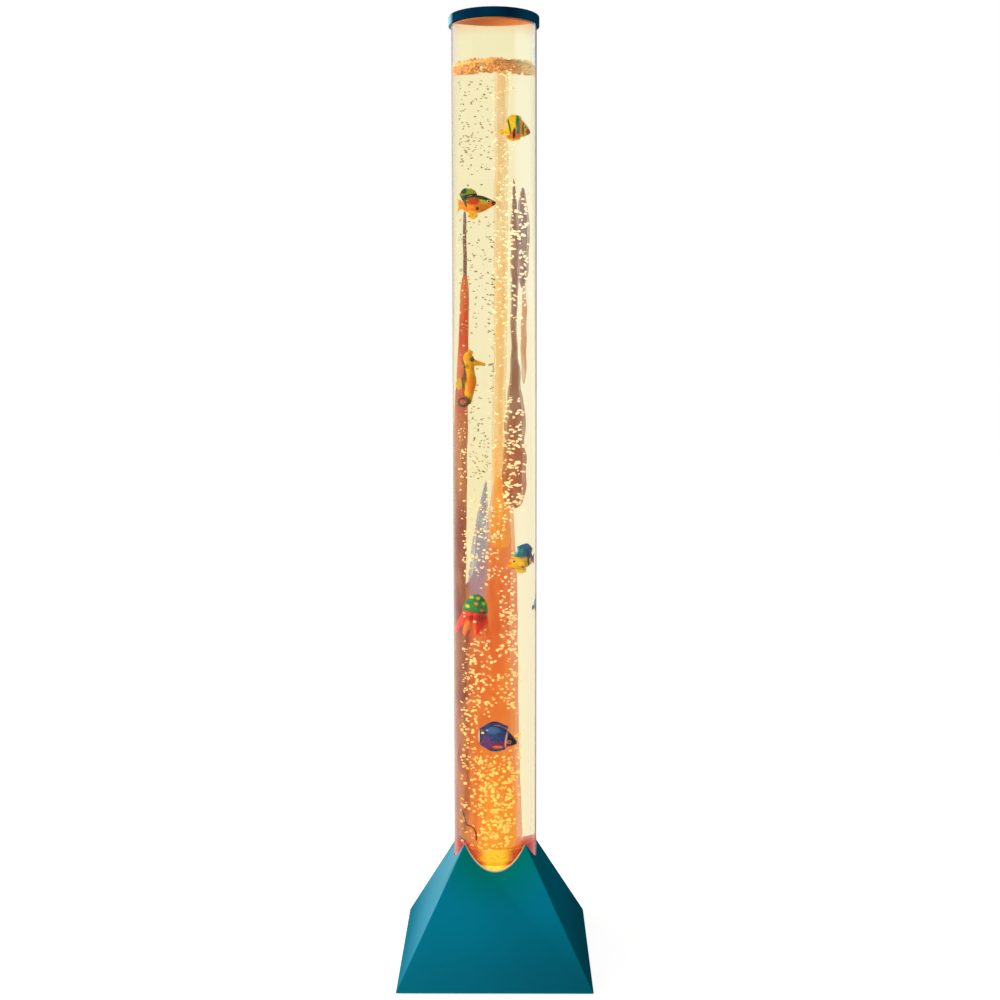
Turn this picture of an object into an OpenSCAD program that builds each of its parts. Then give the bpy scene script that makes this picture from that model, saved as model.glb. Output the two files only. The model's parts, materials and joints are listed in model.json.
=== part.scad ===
// Bubble tube floor lamp: a clear water tube with seven toy fish stands in a square
// pyramid base that holds the air pump, the ring of LEDs and the controls.
// The origin is on the floor, in the middle of the base. +Z is up and -Y is the front.

/* [Lamp] */
// Height of the lamp, from the floor to the top of the cap
lamp_h = 900; // [750:10:1200]

/* [Base] */
// Width of the pyramid at its lower edge
base_w = 182; // [178:1:220]
// Height from the lower edge to the point that the four ridges aim at
ridge_h = 172; // [164:1:208]
// Thickness of the shell's walls
shell_wall = 2.5; // [2:0.1:3]
// Height of the shell's lower edge above the floor
foot_gap = 2; // [1.5:0.5:4]
// Thickness of the bottom plate
plate_t = 3; // [2.5:0.1:4]

/* [Tube] */
// Outside diameter of the tube
tube_d = 80; // [66:1:81]
// Thickness of the tube's wall
tube_wall = 3; // [2:0.5:4]
// Thickness of the plug that closes the tube's lower end
plug_h = 16; // [12:1:20]

/* [Cap] */
// Height of the cap's rim
cap_h = 9; // [8:1:24]
// Thickness of the cap's rim
cap_wall = 2.2; // [1.6:0.1:3]

/* [Rear panel] */
// Width of the recess that holds the power inlet and the button
panel_w = 48; // [46:1:64]
// Height of that recess
panel_h = 24; // [22:1:26]
// Diameter of the push button's cap
button_d = 9.8; // [8:0.1:11]
// How far the button moves when it is pressed
button_travel = 1.5; // [0.8:0.1:2]

/* [Air pump] */
// Length of the pump's case
pump_l = 78; // [76:1:84]
// Width of the pump's case
pump_w = 48; // [46:1:54]
// Height of the pump with its lid
pump_h = 32; // [31:0.5:34]
// Outside diameter of the air hose
hose_d = 6; // [5:0.5:6]

/* [Lights] */
// Number of LEDs round the ring
led_count = 12; // [6:1:16]

/* [Hidden] */
$fn = 64;

// Small gaps between pieces that fit together
fit = 0.05;
glue_gap = 0.15;
seat_gap = 0.3;
eps = 0.01;
screw_gap = 0.3;

// The pyramid: its tip, its slope, and its wall as measured level
tip_z = foot_gap + ridge_h;
slope = base_w / 2 / ridge_h;
level_wall = shell_wall * sqrt(1 + slope * slope);
inner_tip_z = tip_z - level_wall / slope;
function inner_half(z) = (inner_tip_z - z) * slope;
function inner_z(half) = inner_tip_z - half / slope;

// Small self-cutting screws of the boards
small_screw = [1, 4, 1.9, 1.4];
small_pilot_r = 1.05;

// Bottom plate, its screws, its vent slots and the feet
plate_z = foot_gap + 1;
floor_z = plate_z + plate_t;
plate_half = inner_half(floor_z) - 0.4;
plate_boss = base_w / 2 - 32;
boss_r = 4.5;
screw_r = 1.5;
screw_head_r = 3;
screw_head_t = 2;
plate_screw_l = 12;
vent_slots = 7;
vent_slot = [2.4, 26];
vent_pitch = 5;
vent_at = [42, -52];
foot_r = 8;
foot_at = base_w / 2 - 18;
foot_sink = 1;

// Tube, socket and plug
tube_r = tube_d / 2;
bore_r = tube_r - tube_wall;
shell_bore_r = tube_r + seat_gap;
collar_wall = 2.7;
socket_wall = 2.6;
socket_bore_r = tube_r + glue_gap;
socket_r = socket_bore_r + socket_wall;
socket_room = 1.3;
socket_top = inner_z(socket_r + socket_room);
socket_depth = 4.5;
socket_floor = 4;
tube_z = socket_top - socket_depth;
ledge_z = tube_z - socket_floor;
window_r = tube_r - 6;
collar_z = socket_top + 0.5;
lug_t = 4;
lug_z = ledge_z - 2;
lug_at = tube_r - 2;
lug_r = 5;
socket_screw_l = 11;
plug_r = bore_r - 0.1;
plug_z = tube_z + 4;
plug_top = plug_z + plug_h;
ring_r = 1;
ring_z = plug_z + 6;

// Air nozzle in the middle of the plug
nozzle_r = 3;
nozzle_tail_r = 2.4;
nozzle_tail = 10;
nut_t = 4;
nut_r = 5.6;
washer_t = 1;
washer_r = 7;
head_r = 6;
head_h = 5;
nozzle_flange_t = 1.5;
head_z = plug_top + washer_t + nozzle_flange_t;

// Cap and liner
cap_gap = 0.3;
cap_top = 2.5;
liner_t = 1.5;
cap_r = tube_r + cap_gap + cap_wall;
cap_round = 1.2;
tube_top = lamp_h - cap_top - liner_t;
spigot_h = 6;
spigot_wall = 2;
vent_r = 2;

// LED tray and board
tray_wall = 2;
tray_h = 16;
tray_z = ledge_z - tray_h;
tray_r = tube_r - 4.5;
tray_flange_r = tube_r + 1.5;
tray_flange_t = 2.5;
tray_screw_at = tube_r - 1.7;
tray_screw_r = 1.2;
tray_hole_r = 8;
board_t = 1.6;
board_z = tray_z + tray_wall + 2;
board_r = tray_r - tray_wall - 1.5;
board_screw_at = board_r - 4;
board_screws_n = 3;
board_post_r = 2.6;
led_at = board_r - 10;
led_size = 5;
led_t = 1.6;
led_hole = [board_r - 14, 10];

// Rear panel
panel_z = foot_gap + 8;
panel_mid_z = panel_z + panel_h / 2;
panel_y = (tip_z - panel_z - panel_h) * slope - 1.9;
panel_in_y = panel_y - shell_wall;
jack_x = -13;
button_x = 12;

// Control board, behind the button's half of the panel
control_y = panel_in_y - 11;
control_w = 31;
control_x = -2;
control_z = panel_z - 1.5;
control_h = 36;
post_r = 3;
post_x = [button_x - 9.5, button_x + 11.5];
post_z = [panel_z + 1.5, panel_z + 21.5];
plug_size = [6, 6, 5];
lead_x = [4, 12, 20];
lead_z = control_z + control_h - 6;
switch_size = 6;
switch_t = 3.4;
plunger_t = 0.5;
button_r = button_d / 2;
button_hole_r = button_r + 0.07;
flange_r = button_r + 1.6;
flange_t = 1.4;
button_face_y = panel_y + 2;
stem_r = 1.7;
stem_end_y = control_y + switch_t + plunger_t + button_travel + 0.2;
spring_r = 5;
spring_wire_r = 0.3;
spring_turns = 4;

// Power inlet
jack_r = 5.4;
jack_flange_r = 6.5;
jack_flange_t = 2;
jack_back_y = panel_in_y - 14;
jack_hole_r = 2.75;
jack_depth = 9.5;
jack_pin_r = 1.05;
dc_nut_t = 2.5;
dc_nut_r = 8;

// Air pump: a corner of its case is where its own frame starts
pump_x = -61;
pump_y = -19;
pad_t = 2;
pump_z = floor_z + pad_t;
case_wall = 2;
lid_t = 2;
case_h = pump_h - lid_t;
pump_mid_y = pump_w / 2;
arm_mid_z = case_h / 2;
core_x = pump_l - case_wall - 24;
core_yoke = 6;
core_l = 21;
core_h = 12;
leg_w = 6;
leg_gap = 5;
coil_l = 12;
coil_t = 4.4;
magnet_t = 3;
pole_gap = 1.2;
arm_t = 2.5;
arm_x = core_x - pole_gap - magnet_t - arm_t;
pivot_x = arm_x + arm_t / 2;
pivot_y = pump_w - 6;
pivot_r = 3.2;
hub_low = arm_mid_z - core_h / 2 - 1;
hub_high = arm_mid_z + core_h / 2 + 1;
pin_r = 1.5;
arm_end_y = 11;
valve_l = 28;
valve_w = 20;
valve_h = 20;
diaphragm_l = 9.5;
diaphragm_r = 8;
diaphragm_y = arm_end_y + 7;
valve_x = arm_x - diaphragm_l - valve_l;
outlet_x = valve_x + 4;
outlet_r = 2.4;
outlet_l = 8;
case_post_r = 3;
case_post_in = 4.6;

// Hose routes, in the lamp's frame, chosen by hand. Each ends on the piece it feeds.
hose_r = hose_d / 2;
valve_from = [-25, -46, 28];
valve_to = [-3, -46, 28];
outlet = [pump_x + outlet_x, pump_y - outlet_l, pump_z + arm_mid_z];
nozzle_end = [0, 0, plug_z - nut_t - nozzle_tail];
pump_route = [outlet, outlet + [0, -7, 0], [-45, -41, 24], [-36, -46, 27],
    valve_from + [-6, 0, 0], valve_from];
nozzle_route = [valve_to, valve_to + [6, 0, 0], [11, -44, 31], [17, -36, 37],
    [15, -24, 44], [9, -12, 48], [3, -3, 51], nozzle_end + [0, 0, -10], nozzle_end];

// Leads, likewise
jack_tail = [jack_x, jack_back_y, panel_mid_z];
plug_back_y = control_y - board_t - plug_size[1];
case_entry = [8, pump_y + pump_w, pump_z + 22];
coil_tail = [pump_x + core_x + 10, pump_y + pump_mid_y + leg_w / 2 + coil_t, case_entry[2]];
led_tail = [led_hole[0], led_hole[1], board_z];
jack_route = [jack_tail, jack_tail + [0, -9, 0], jack_tail + [4, -13, 4],
    [lead_x[0] - 4, plug_back_y - 9, lead_z - 4], [lead_x[0], plug_back_y - 5, lead_z],
    [lead_x[0], plug_back_y, lead_z]];
pump_route_lead = [[lead_x[2], plug_back_y, lead_z], [lead_x[2], plug_back_y - 5, lead_z],
    [lead_x[2] - 3, plug_back_y - 10, lead_z - 4], case_entry + [3, 6, 0], case_entry + [0, 3, 0],
    case_entry + [0, -4, 0], coil_tail + [0, 3, 0], coil_tail];
led_route = [[lead_x[1], plug_back_y, lead_z], [lead_x[1], plug_back_y - 5, lead_z],
    [lead_x[1] + 1, plug_back_y - 12, lead_z + 3], led_tail + [-1, 14, -13],
    led_tail + [0, 5, -9], led_tail + [0, 0, -6], led_tail];
lead_r = 1;

// Fish: how they grow with the tube, where each hangs in the column at rest, from the
// axis and as a share of the column's height, and which way each one is turned
fish_size = bore_r / 37;
column_h = tube_top - plug_top;
fish_at = [[15, 2], [-13, 4], [-19, -2], [20.2, 0], [-15, 0], [1.5, -3], [29.5, 9]];
fish_share = [0.871, 0.784, 0.58, 0.366, 0.2985, 0.152, 0.3075];
fish_turn = [0, 0, 0, 180, 0, 0, 107];
fin_t = 1.2;

// ---------- Shapes that repeat ----------

// Triangular prism along Y, from z_low up to its ridge at z_tip
module ridge(z_low, z_tip) {
    half = (z_tip - z_low) * slope;
    rotate([90, 0, 0])
        linear_extrude(height = 2 * half, center = true)
            polygon([[-half, z_low], [half, z_low], [0, z_tip]]);
}

// Square pyramid on the base's slope
module pyramid(z_low, z_tip) {
    intersection() {
        ridge(z_low, z_tip);
        rotate(90) ridge(z_low, z_tip);
    }
}

module ring(r_out, r_in, h) {
    difference() {
        cylinder(r = r_out, h = h);
        translate([0, 0, -1]) cylinder(r = r_in, h = h + 2);
    }
}

// Copies at the four corners of a rectangle
module at_corners(x, y) {
    for (sx = [-1, 1], sy = [-1, 1])
        translate([sx * x, sy * y, 0]) children();
}

// Copies round a circle, n of them
module round_circle(n, r, first = 0) {
    for (i = [0 : n - 1])
        rotate(first + i * 360 / n) translate([r, 0, 0]) children();
}

// Screw pointing up: the head's lower face is at z = 0, with a cross slot cut in it
module screw(shank_r, length, head_r, head_t) {
    difference() {
        union() {
            translate([0, 0, head_t - eps]) cylinder(r = shank_r, h = length + eps, $fn = 24);
            cylinder(r1 = head_r * 0.8, r2 = head_r, h = head_t * 0.4, $fn = 32);
            translate([0, 0, head_t * 0.4 - eps])
                cylinder(r = head_r, h = head_t * 0.6 + eps, $fn = 32);
        }
        for (a = [0, 90])
            rotate(a) translate([-head_r * 0.6, -0.3, -1])
                cube([head_r * 1.2, 0.6, 1 + head_t * 0.5]);
    }
}

// Tube swept along a route: n sides, rings square to the way the route turns
function unit(v) = v / norm(v);
function heading(p, i) = i == 0 ? unit(p[1] - p[0])
    : i == len(p) - 1 ? unit(p[i] - p[i - 1])
    : unit(unit(p[i] - p[i - 1]) + unit(p[i + 1] - p[i]));
function square_to(v, t) = unit(v - (v * t) * t);
function sides(p, i, v) = i == len(p) ? []
    : let (s = square_to(v, heading(p, i))) concat([s], sides(p, i + 1, s));
module swept(route, r, n = 8) {
    first = square_to([0.3, 0.2, 1], heading(route, 0));
    side = sides(route, 0, norm(first) > 0 ? first : [1, 0, 0]);
    rings = len(route);
    points = [for (i = [0 : rings - 1], k = [0 : n - 1])
        let (t = heading(route, i), s = side[i], a = 360 * k / n)
        route[i] + r * (cos(a) * s + sin(a) * cross(t, s))];
    polyhedron(points, tube_faces(rings, n));
}

// Faces of a stack of rings of n points, with both ends closed
function tube_faces(rings, n) = concat(
    [[for (k = [0 : n - 1]) k]],
    [for (i = [0 : rings - 2], k = [0 : n - 1])
        [i * n + k, (i + 1) * n + k, (i + 1) * n + (k + 1) % n]],
    [for (i = [0 : rings - 2], k = [0 : n - 1])
        [i * n + k, (i + 1) * n + (k + 1) % n, i * n + (k + 1) % n]],
    [[for (k = [n - 1 : -1 : 0]) (rings - 1) * n + k]]);

// ---------- Base ----------

module base_shell() {
    color("#006478") difference() {
        union() {
            difference() {
                pyramid(foot_gap, tip_z);
                pyramid(foot_gap - 1, inner_tip_z);
            }
            intersection() {
                pyramid(foot_gap, tip_z);
                shell_inside();
            }
            panel_posts();
        }
        translate([0, 0, plug_z - 20]) cylinder(r = shell_bore_r, h = ridge_h, $fn = 96);
        translate([-panel_w / 2, panel_y, panel_z]) cube([panel_w, base_w, panel_h]);
        along_y(jack_x, panel_in_y - 1, panel_mid_z) cylinder(r = jack_r + fit, h = shell_wall + 2);
        along_y(button_x, panel_in_y - 1, panel_mid_z) cylinder(r = button_hole_r, h = shell_wall + 2);
        at_corners(plate_boss, plate_boss)
            translate([0, 0, floor_z - 1]) cylinder(r = screw_r + fit, h = plate_screw_l, $fn = 24);
        at_corners(lug_at, lug_at)
            translate([0, 0, lug_z + lug_t - 1]) cylinder(r = screw_r + fit, h = socket_screw_l, $fn = 24);
    }
}

// What is moulded inside the shell: the collar that hugs the tube, the screw bosses,
// the stiffening ribs under the ridges and the walls of the rear recess
module shell_inside() {
    translate([0, 0, collar_z]) ring(shell_bore_r + collar_wall, shell_bore_r, ridge_h);
    at_corners(plate_boss, plate_boss)
        translate([0, 0, floor_z]) cylinder(r = boss_r, h = ridge_h);
    at_corners(lug_at, lug_at)
        translate([0, 0, lug_z + lug_t]) cylinder(r = boss_r, h = ridge_h);
    for (a = [45 : 90 : 315])
        rotate(a) translate([plate_boss * sqrt(2) - 8, -0.9, floor_z + 14]) cube([base_w, 1.8, ridge_h]);
    translate([-panel_w / 2 - shell_wall, panel_in_y, panel_z - shell_wall])
        cube([panel_w + 2 * shell_wall, base_w, panel_h + 2 * shell_wall]);
}

// A shape that is drawn along +Z, turned to run along +Y from the given point
module along_y(x, y, z) {
    translate([x, y, z]) rotate([-90, 0, 0]) children();
}

module panel_posts() {
    for (x = post_x, z = post_z)
        along_y(x, control_y, z) difference() {
            cylinder(r = post_r, h = panel_in_y - control_y + eps, $fn = 32);
            translate([0, 0, -1]) cylinder(r = small_pilot_r, h = 8, $fn = 24);
        }
}

module bottom_plate() {
    color("#1c2326") difference() {
        union() {
            translate([-plate_half, -plate_half, plate_z])
                cube([2 * plate_half, 2 * plate_half, plate_t]);
            pump_fence();
        }
        at_corners(plate_boss, plate_boss) translate([0, 0, plate_z - 1]) {
            cylinder(r = screw_r + screw_gap, h = plate_t + 2, $fn = 24);
            cylinder(r = screw_head_r + screw_gap, h = 1 + screw_head_t, $fn = 32);
        }
        at_corners(foot_at, foot_at)
            translate([0, 0, plate_z - 1]) cylinder(r = foot_r + 0.1, h = 1 + foot_sink);
        for (i = [0 : vent_slots - 1])
            translate([vent_at[0] + (i - (vent_slots - 1) / 2) * vent_pitch, vent_at[1], plate_z - 1])
                cube([vent_slot[0], vent_slot[1], plate_t + 2]);
    }
}

// Low fence on the plate that keeps the pump in place
module pump_fence() {
    gap = 0.6;
    wall = 1.6;
    high = 5;
    translate([pump_x - gap - wall, pump_y - gap - wall, floor_z - eps]) difference() {
        cube([pump_l + 2 * (gap + wall), pump_w + 2 * (gap + wall), high]);
        translate([wall, wall, -1]) cube([pump_l + 2 * gap, pump_w + 2 * gap, high + 2]);
        translate([12, -1, -1]) cube([pump_l - 20, pump_w + 20, high + 2]);
        translate([-1, 12, -1]) cube([pump_l + 20, pump_w - 20, high + 2]);
    }
}

module plate_screws() {
    color("silver") at_corners(plate_boss, plate_boss)
        translate([0, 0, plate_z]) screw(screw_r, plate_screw_l - 2, screw_head_r, screw_head_t);
}

module rubber_feet() {
    color("#202020") at_corners(foot_at, foot_at) {
        cylinder(r1 = foot_r - 1, r2 = foot_r, h = 1);
        translate([0, 0, 1 - eps]) cylinder(r = foot_r, h = plate_z + foot_sink - 1 + eps);
    }
}

// ---------- Tube and what closes it ----------

module tube_socket() {
    color("white") difference() {
        union() {
            translate([0, 0, ledge_z]) cylinder(r = socket_r, h = socket_top - ledge_z, $fn = 96);
            translate([0, 0, lug_z]) ring(socket_r, tray_flange_r + 0.4, ledge_z - lug_z + eps);
            for (a = [45 : 90 : 315]) rotate(a) {
                translate([socket_r - 1, -lug_r, lug_z])
                    cube([lug_at * sqrt(2) - socket_r + 1, 2 * lug_r, lug_t]);
                translate([lug_at * sqrt(2), 0, lug_z]) cylinder(r = lug_r, h = lug_t);
                translate([socket_r - 1, -1, lug_z + lug_t - eps])
                    cube([4, 2, 3]);
            }
        }
        translate([0, 0, tube_z]) cylinder(r = socket_bore_r, h = ridge_h, $fn = 96);
        translate([0, 0, ledge_z - 3]) cylinder(r = window_r, h = ridge_h);
        at_corners(lug_at, lug_at) translate([0, 0, lug_z - 1])
            cylinder(r = screw_r + screw_gap, h = lug_t + 2, $fn = 24);
        round_circle(4, tray_screw_at) translate([0, 0, ledge_z - 1])
            cylinder(r = tray_screw_r + fit, h = 1 + socket_floor - 0.5, $fn = 24);
    }
}

module socket_screws() {
    color("silver") at_corners(lug_at, lug_at)
        translate([0, 0, lug_z - screw_head_t])
            screw(screw_r, lug_t + socket_screw_l - 2, screw_head_r, screw_head_t);
}

module tube() {
    color("#f2eec8") translate([0, 0, tube_z]) difference() {
        cylinder(r = tube_r, h = tube_top - tube_z, $fn = 96);
        translate([0, 0, -1]) cylinder(r = bore_r, h = lamp_h, $fn = 96);
    }
}

module tube_plug() {
    color("#f08030") difference() {
        translate([0, 0, plug_z]) cylinder(r = plug_r, h = plug_h, $fn = 96);
        translate([0, 0, plug_z - 1]) cylinder(r = nozzle_r + fit, h = plug_h + 2, $fn = 32);
        translate([0, 0, ring_z])
            rotate_extrude($fn = 96) translate([plug_r - 2 * ring_r, -ring_r - fit])
                square([2 * ring_r + 1, 2 * (ring_r + fit)]);
    }
}

module plug_ring() {
    color("#303030") translate([0, 0, ring_z])
        rotate_extrude($fn = 96) translate([plug_r - ring_r + 0.02, 0]) circle(r = ring_r, $fn = 24);
}

module air_nozzle() {
    low_z = nozzle_end[2];
    color("#c9b26a") difference() {
        union() {
            translate([0, 0, low_z]) cylinder(r = nozzle_tail_r, h = nozzle_tail + eps, $fn = 32);
            for (i = [1 : 3])
                translate([0, 0, low_z + 2 * i]) cylinder(r1 = nozzle_tail_r, r2 = nozzle_tail_r + 0.5,
                    h = 1.6, $fn = 32);
            translate([0, 0, low_z + nozzle_tail])
                cylinder(r = nozzle_r, h = head_z - low_z - nozzle_tail + head_h / 2, $fn = 32);
            translate([0, 0, plug_top + washer_t]) cylinder(r = head_r, h = nozzle_flange_t);
        }
        translate([0, 0, low_z - 1]) cylinder(r = 1.2, h = head_z - low_z + head_h, $fn = 24);
    }
}

module nozzle_washer() {
    color("#303030") translate([0, 0, plug_top]) ring(washer_r, nozzle_r + fit, washer_t);
}

module nozzle_nut() {
    color("#c9b26a") translate([0, 0, plug_z - nut_t]) difference() {
        cylinder(r = nut_r, h = nut_t, $fn = 6);
        translate([0, 0, -1]) cylinder(r = nozzle_r + fit, h = nut_t + 2, $fn = 32);
    }
}

// Porous head that splits the air into bubbles, with a ring of small holes
module bubble_head() {
    color("#b8b0a0") translate([0, 0, head_z]) difference() {
        union() {
            cylinder(r = head_r, h = head_h - 2);
            translate([0, 0, head_h - 2 - eps]) cylinder(r1 = head_r, r2 = head_r - 2, h = 2);
        }
        translate([0, 0, -1]) cylinder(r = nozzle_r + fit, h = head_h / 2 + 1 + fit, $fn = 32);
        round_circle(8, head_r) translate([0, 0, head_h / 2 - 1])
            rotate([0, 90, 0]) cylinder(r = 0.5, h = 3, center = true, $fn = 16);
    }
}

// ---------- Cap ----------

module top_cap() {
    rim_z = lamp_h - cap_h;
    in_r = tube_r + cap_gap;
    steps = 6;
    arc = [for (i = [0 : steps]) let (a = 90 * i / steps)
        [cap_r - cap_round + cap_round * cos(a), lamp_h - cap_round + cap_round * sin(a)]];
    color("#003c64") rotate_extrude($fn = 96)
        polygon(concat([[in_r, rim_z], [cap_r, rim_z]], arc,
            [[vent_r, lamp_h], [vent_r, lamp_h - cap_top], [in_r, lamp_h - cap_top]]));
}

module cap_liner() {
    out_r = bore_r - cap_gap;
    color("#f2e4c0") translate([0, 0, tube_top]) {
        ring(tube_r - 0.1, vent_r, liner_t);
        translate([0, 0, -spigot_h]) ring(out_r, out_r - spigot_wall, spigot_h + eps);
    }
}

// ---------- Lights ----------

module led_tray() {
    color("#f4f4f0") translate([0, 0, tray_z]) difference() {
        union() {
            cylinder(r = tray_r, h = tray_h, $fn = 96);
            translate([0, 0, tray_h - tray_flange_t])
                cylinder(r = tray_flange_r, h = tray_flange_t, $fn = 96);
        }
        difference() {
            translate([0, 0, tray_wall]) cylinder(r = tray_r - tray_wall, h = tray_h, $fn = 96);
            round_circle(board_screws_n, board_screw_at, 90)
                cylinder(r = board_post_r, h = board_z - tray_z, $fn = 32);
            ring(tray_hole_r + 1.5, tray_hole_r, tray_wall + 1.5);
        }
        translate([0, 0, -1]) cylinder(r = tray_hole_r, h = tray_h);
        round_circle(board_screws_n, board_screw_at, 90) translate([0, 0, 1])
            cylinder(r = small_pilot_r, h = tray_h, $fn = 24);
        round_circle(4, tray_screw_at) translate([0, 0, tray_h - tray_flange_t - 1])
            cylinder(r = tray_screw_r + 0.15, h = tray_flange_t + 2, $fn = 24);
        translate([led_hole[0], led_hole[1], -1]) cylinder(r = lead_r + 0.6, h = tray_wall + 2, $fn = 24);
    }
}

module tray_screws() {
    color("silver") round_circle(4, tray_screw_at)
        translate([0, 0, ledge_z - tray_flange_t - 1.6])
            screw(tray_screw_r, tray_flange_t + socket_floor - 0.8, 2.1, 1.6);
}

module led_board() {
    color("white") translate([0, 0, board_z]) difference() {
        ring(board_r, tray_hole_r + 1.8, board_t);
        round_circle(board_screws_n, board_screw_at, 90) translate([0, 0, -1])
            cylinder(r = small_pilot_r, h = board_t + 2, $fn = 24);
    }
}

module leds() {
    color("#f5e6a0") round_circle(led_count, led_at, 15)
        translate([-led_size / 2, -led_size / 2, board_z + board_t]) difference() {
            cube([led_size, led_size, led_t]);
            translate([led_size / 2, led_size / 2, led_t - 0.4])
                cylinder(r1 = led_size * 0.34, r2 = led_size * 0.42, h = 0.5, $fn = 32);
        }
}

module board_screws() {
    color("silver") round_circle(board_screws_n, board_screw_at, 90)
        translate([0, 0, board_z + board_t + small_screw[3]]) mirror([0, 0, 1])
            screw(small_screw[0], small_screw[1], small_screw[2], small_screw[3]);
}

// ---------- Air pump ----------

// Pieces below are drawn from a corner of the pump's case
module in_pump() {
    translate([pump_x, pump_y, pump_z]) children();
}

module case_corners() {
    for (x = [case_post_in, pump_l - case_post_in], y = [case_post_in, pump_w - case_post_in])
        translate([x, y, 0]) children();
}

// Block with its upright edges rounded
module rounded_block(l, w, h, r) {
    translate([r, 0, 0]) cube([l - 2 * r, w, h]);
    translate([0, r, 0]) cube([l, w - 2 * r, h]);
    for (x = [r, l - r], y = [r, w - r])
        translate([x, y, 0]) cylinder(r = r, h = h, $fn = 32);
}

module pump_case() {
    color("#3a4046") in_pump() difference() {
        union() {
            difference() {
                rounded_block(pump_l, pump_w, case_h, 4);
                translate([case_wall, case_wall, case_wall])
                    rounded_block(pump_l - 2 * case_wall, pump_w - 2 * case_wall, case_h, 2);
            }
            case_corners() translate([0, 0, 1]) cylinder(r = case_post_r, h = case_h - 1, $fn = 32);
            translate([pivot_x, pivot_y, 1]) cylinder(r = 3, h = hub_low - 1 - 0.3, $fn = 32);
            for (x = [core_x + core_l - 4, core_x + 1])
                translate([x, pump_mid_y - 14, 1]) cube([2.5, 28, arm_mid_z - core_h / 2 - 1]);
            translate([valve_x + 3, diaphragm_y - valve_w / 2, 1])
                cube([valve_l - 8, valve_w, arm_mid_z - valve_h / 2 - 1]);
        }
        case_corners() translate([0, 0, case_h - 12]) cylinder(r = 1.25, h = 13, $fn = 24);
        translate([pivot_x, pivot_y, 1]) cylinder(r = pin_r + fit, h = case_h, $fn = 32);
        translate([core_x - 1, pump_mid_y - leg_w / 2 - coil_t - 0.4, case_wall])
            cube([core_l - core_yoke, leg_w + 2 * coil_t + 0.8, case_h]);
        along_y(outlet_x, -1, arm_mid_z) cylinder(r = outlet_r + 0.3, h = case_wall + 2);
        translate([case_entry[0] - pump_x, pump_w - case_wall - 1, case_entry[2] - pump_z])
            rotate([-90, 0, 0]) cylinder(r = lead_r + 0.3, h = case_wall + 2, $fn = 24);
        for (i = [0 : 4])
            translate([-1, 16 + i * 4, arm_mid_z - 5]) cube([case_wall + 2, 1.6, 10]);
    }
}

module pump_lid() {
    color("#3a4046") in_pump() difference() {
        union() {
            translate([0, 0, case_h]) rounded_block(pump_l, pump_w, lid_t, 4);
            difference() {
                translate([case_wall + 0.3, case_wall + 0.3, case_h - 1.5])
                    rounded_block(pump_l - 2 * case_wall - 0.6, pump_w - 2 * case_wall - 0.6,
                        1.5 + eps, 1.7);
                translate([case_wall + 1.8, case_wall + 1.8, case_h - 2])
                    cube([pump_l - 2 * case_wall - 3.6, pump_w - 2 * case_wall - 3.6, 2]);
                case_corners() translate([0, 0, case_h - 2])
                    cylinder(r = case_post_r + 0.4, h = 2, $fn = 32);
                translate([case_entry[0] - pump_x - 3, pump_w - 8, case_h - 2]) cube([6, 8, 2]);
            }
            translate([pivot_x, pivot_y, hub_high + 0.3])
                cylinder(r = 3, h = case_h - hub_high - 0.3 + eps, $fn = 32);
            for (i = [0 : 4])
                translate([14 + i * 12, 10, case_h + lid_t - eps]) cube([1.6, pump_w - 20, 0.8]);
        }
        case_corners() translate([0, 0, case_h - 1]) cylinder(r = 1.5, h = lid_t + 2, $fn = 24);
        translate([pivot_x, pivot_y, hub_high - 1])
            cylinder(r = pin_r + fit, h = case_h - hub_high, $fn = 32);
    }
}

module pump_screws() {
    color("silver") in_pump() case_corners()
        translate([0, 0, pump_h + 1.6]) mirror([0, 0, 1]) screw(1.2, lid_t + 8, 2.4, 1.6);
}

module pump_pads() {
    color("#202020") in_pump() for (x = [10, pump_l - 10], y = [9, pump_w - 9])
        translate([x, y, -pad_t]) cylinder(r = 5, h = pad_t, $fn = 32);
}

// Stack of E-shaped iron sheets, open towards the arm
module pump_core() {
    width = 3 * leg_w + 2 * leg_gap;
    color("#8c8c90") in_pump() translate([core_x, pump_mid_y - width / 2, arm_mid_z - core_h / 2]) {
        translate([core_l - core_yoke, 0, 0]) cube([core_yoke, width, core_h]);
        for (i = [0 : 2])
            translate([0, i * (leg_w + leg_gap), 0]) cube([core_l, leg_w, core_h]);
    }
}

module pump_coil() {
    side = leg_w + 2 * coil_t;
    tall = core_h + 2 * coil_t;
    color("#a8602c") in_pump()
        translate([core_x + (core_l - core_yoke - coil_l) / 2, pump_mid_y, arm_mid_z]) difference() {
            translate([0, -side / 2, -tall / 2]) cube([coil_l, side, tall]);
            translate([-1, -leg_w / 2 - fit, -core_h / 2 - fit])
                cube([coil_l + 2, leg_w + 2 * fit, core_h + 2 * fit]);
            for (s = [-1, 1])
                translate([1.2, s * (side / 2) - 0.4, -tall / 2 - 1]) cube([coil_l - 2.4, 0.8, tall + 2]);
        }
}

// Arm that swings between the core and the bellows, with a hub on its pin
module pump_arm() {
    color("#d8d8d0") in_pump() difference() {
        union() {
            translate([arm_x, arm_end_y, arm_mid_z - core_h / 2])
                cube([arm_t, pivot_y - arm_end_y, core_h]);
            translate([pivot_x, pivot_y, hub_low]) cylinder(r = pivot_r, h = core_h + 2, $fn = 48);
        }
        translate([pivot_x, pivot_y, 0]) cylinder(r = pin_r + fit, h = case_h, $fn = 48);
    }
}

module arm_magnet() {
    color("#707478") in_pump()
        translate([arm_x + arm_t, pump_mid_y - 9, arm_mid_z - core_h / 2 + 0.5])
            cube([magnet_t, 18, core_h - 1]);
}

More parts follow.
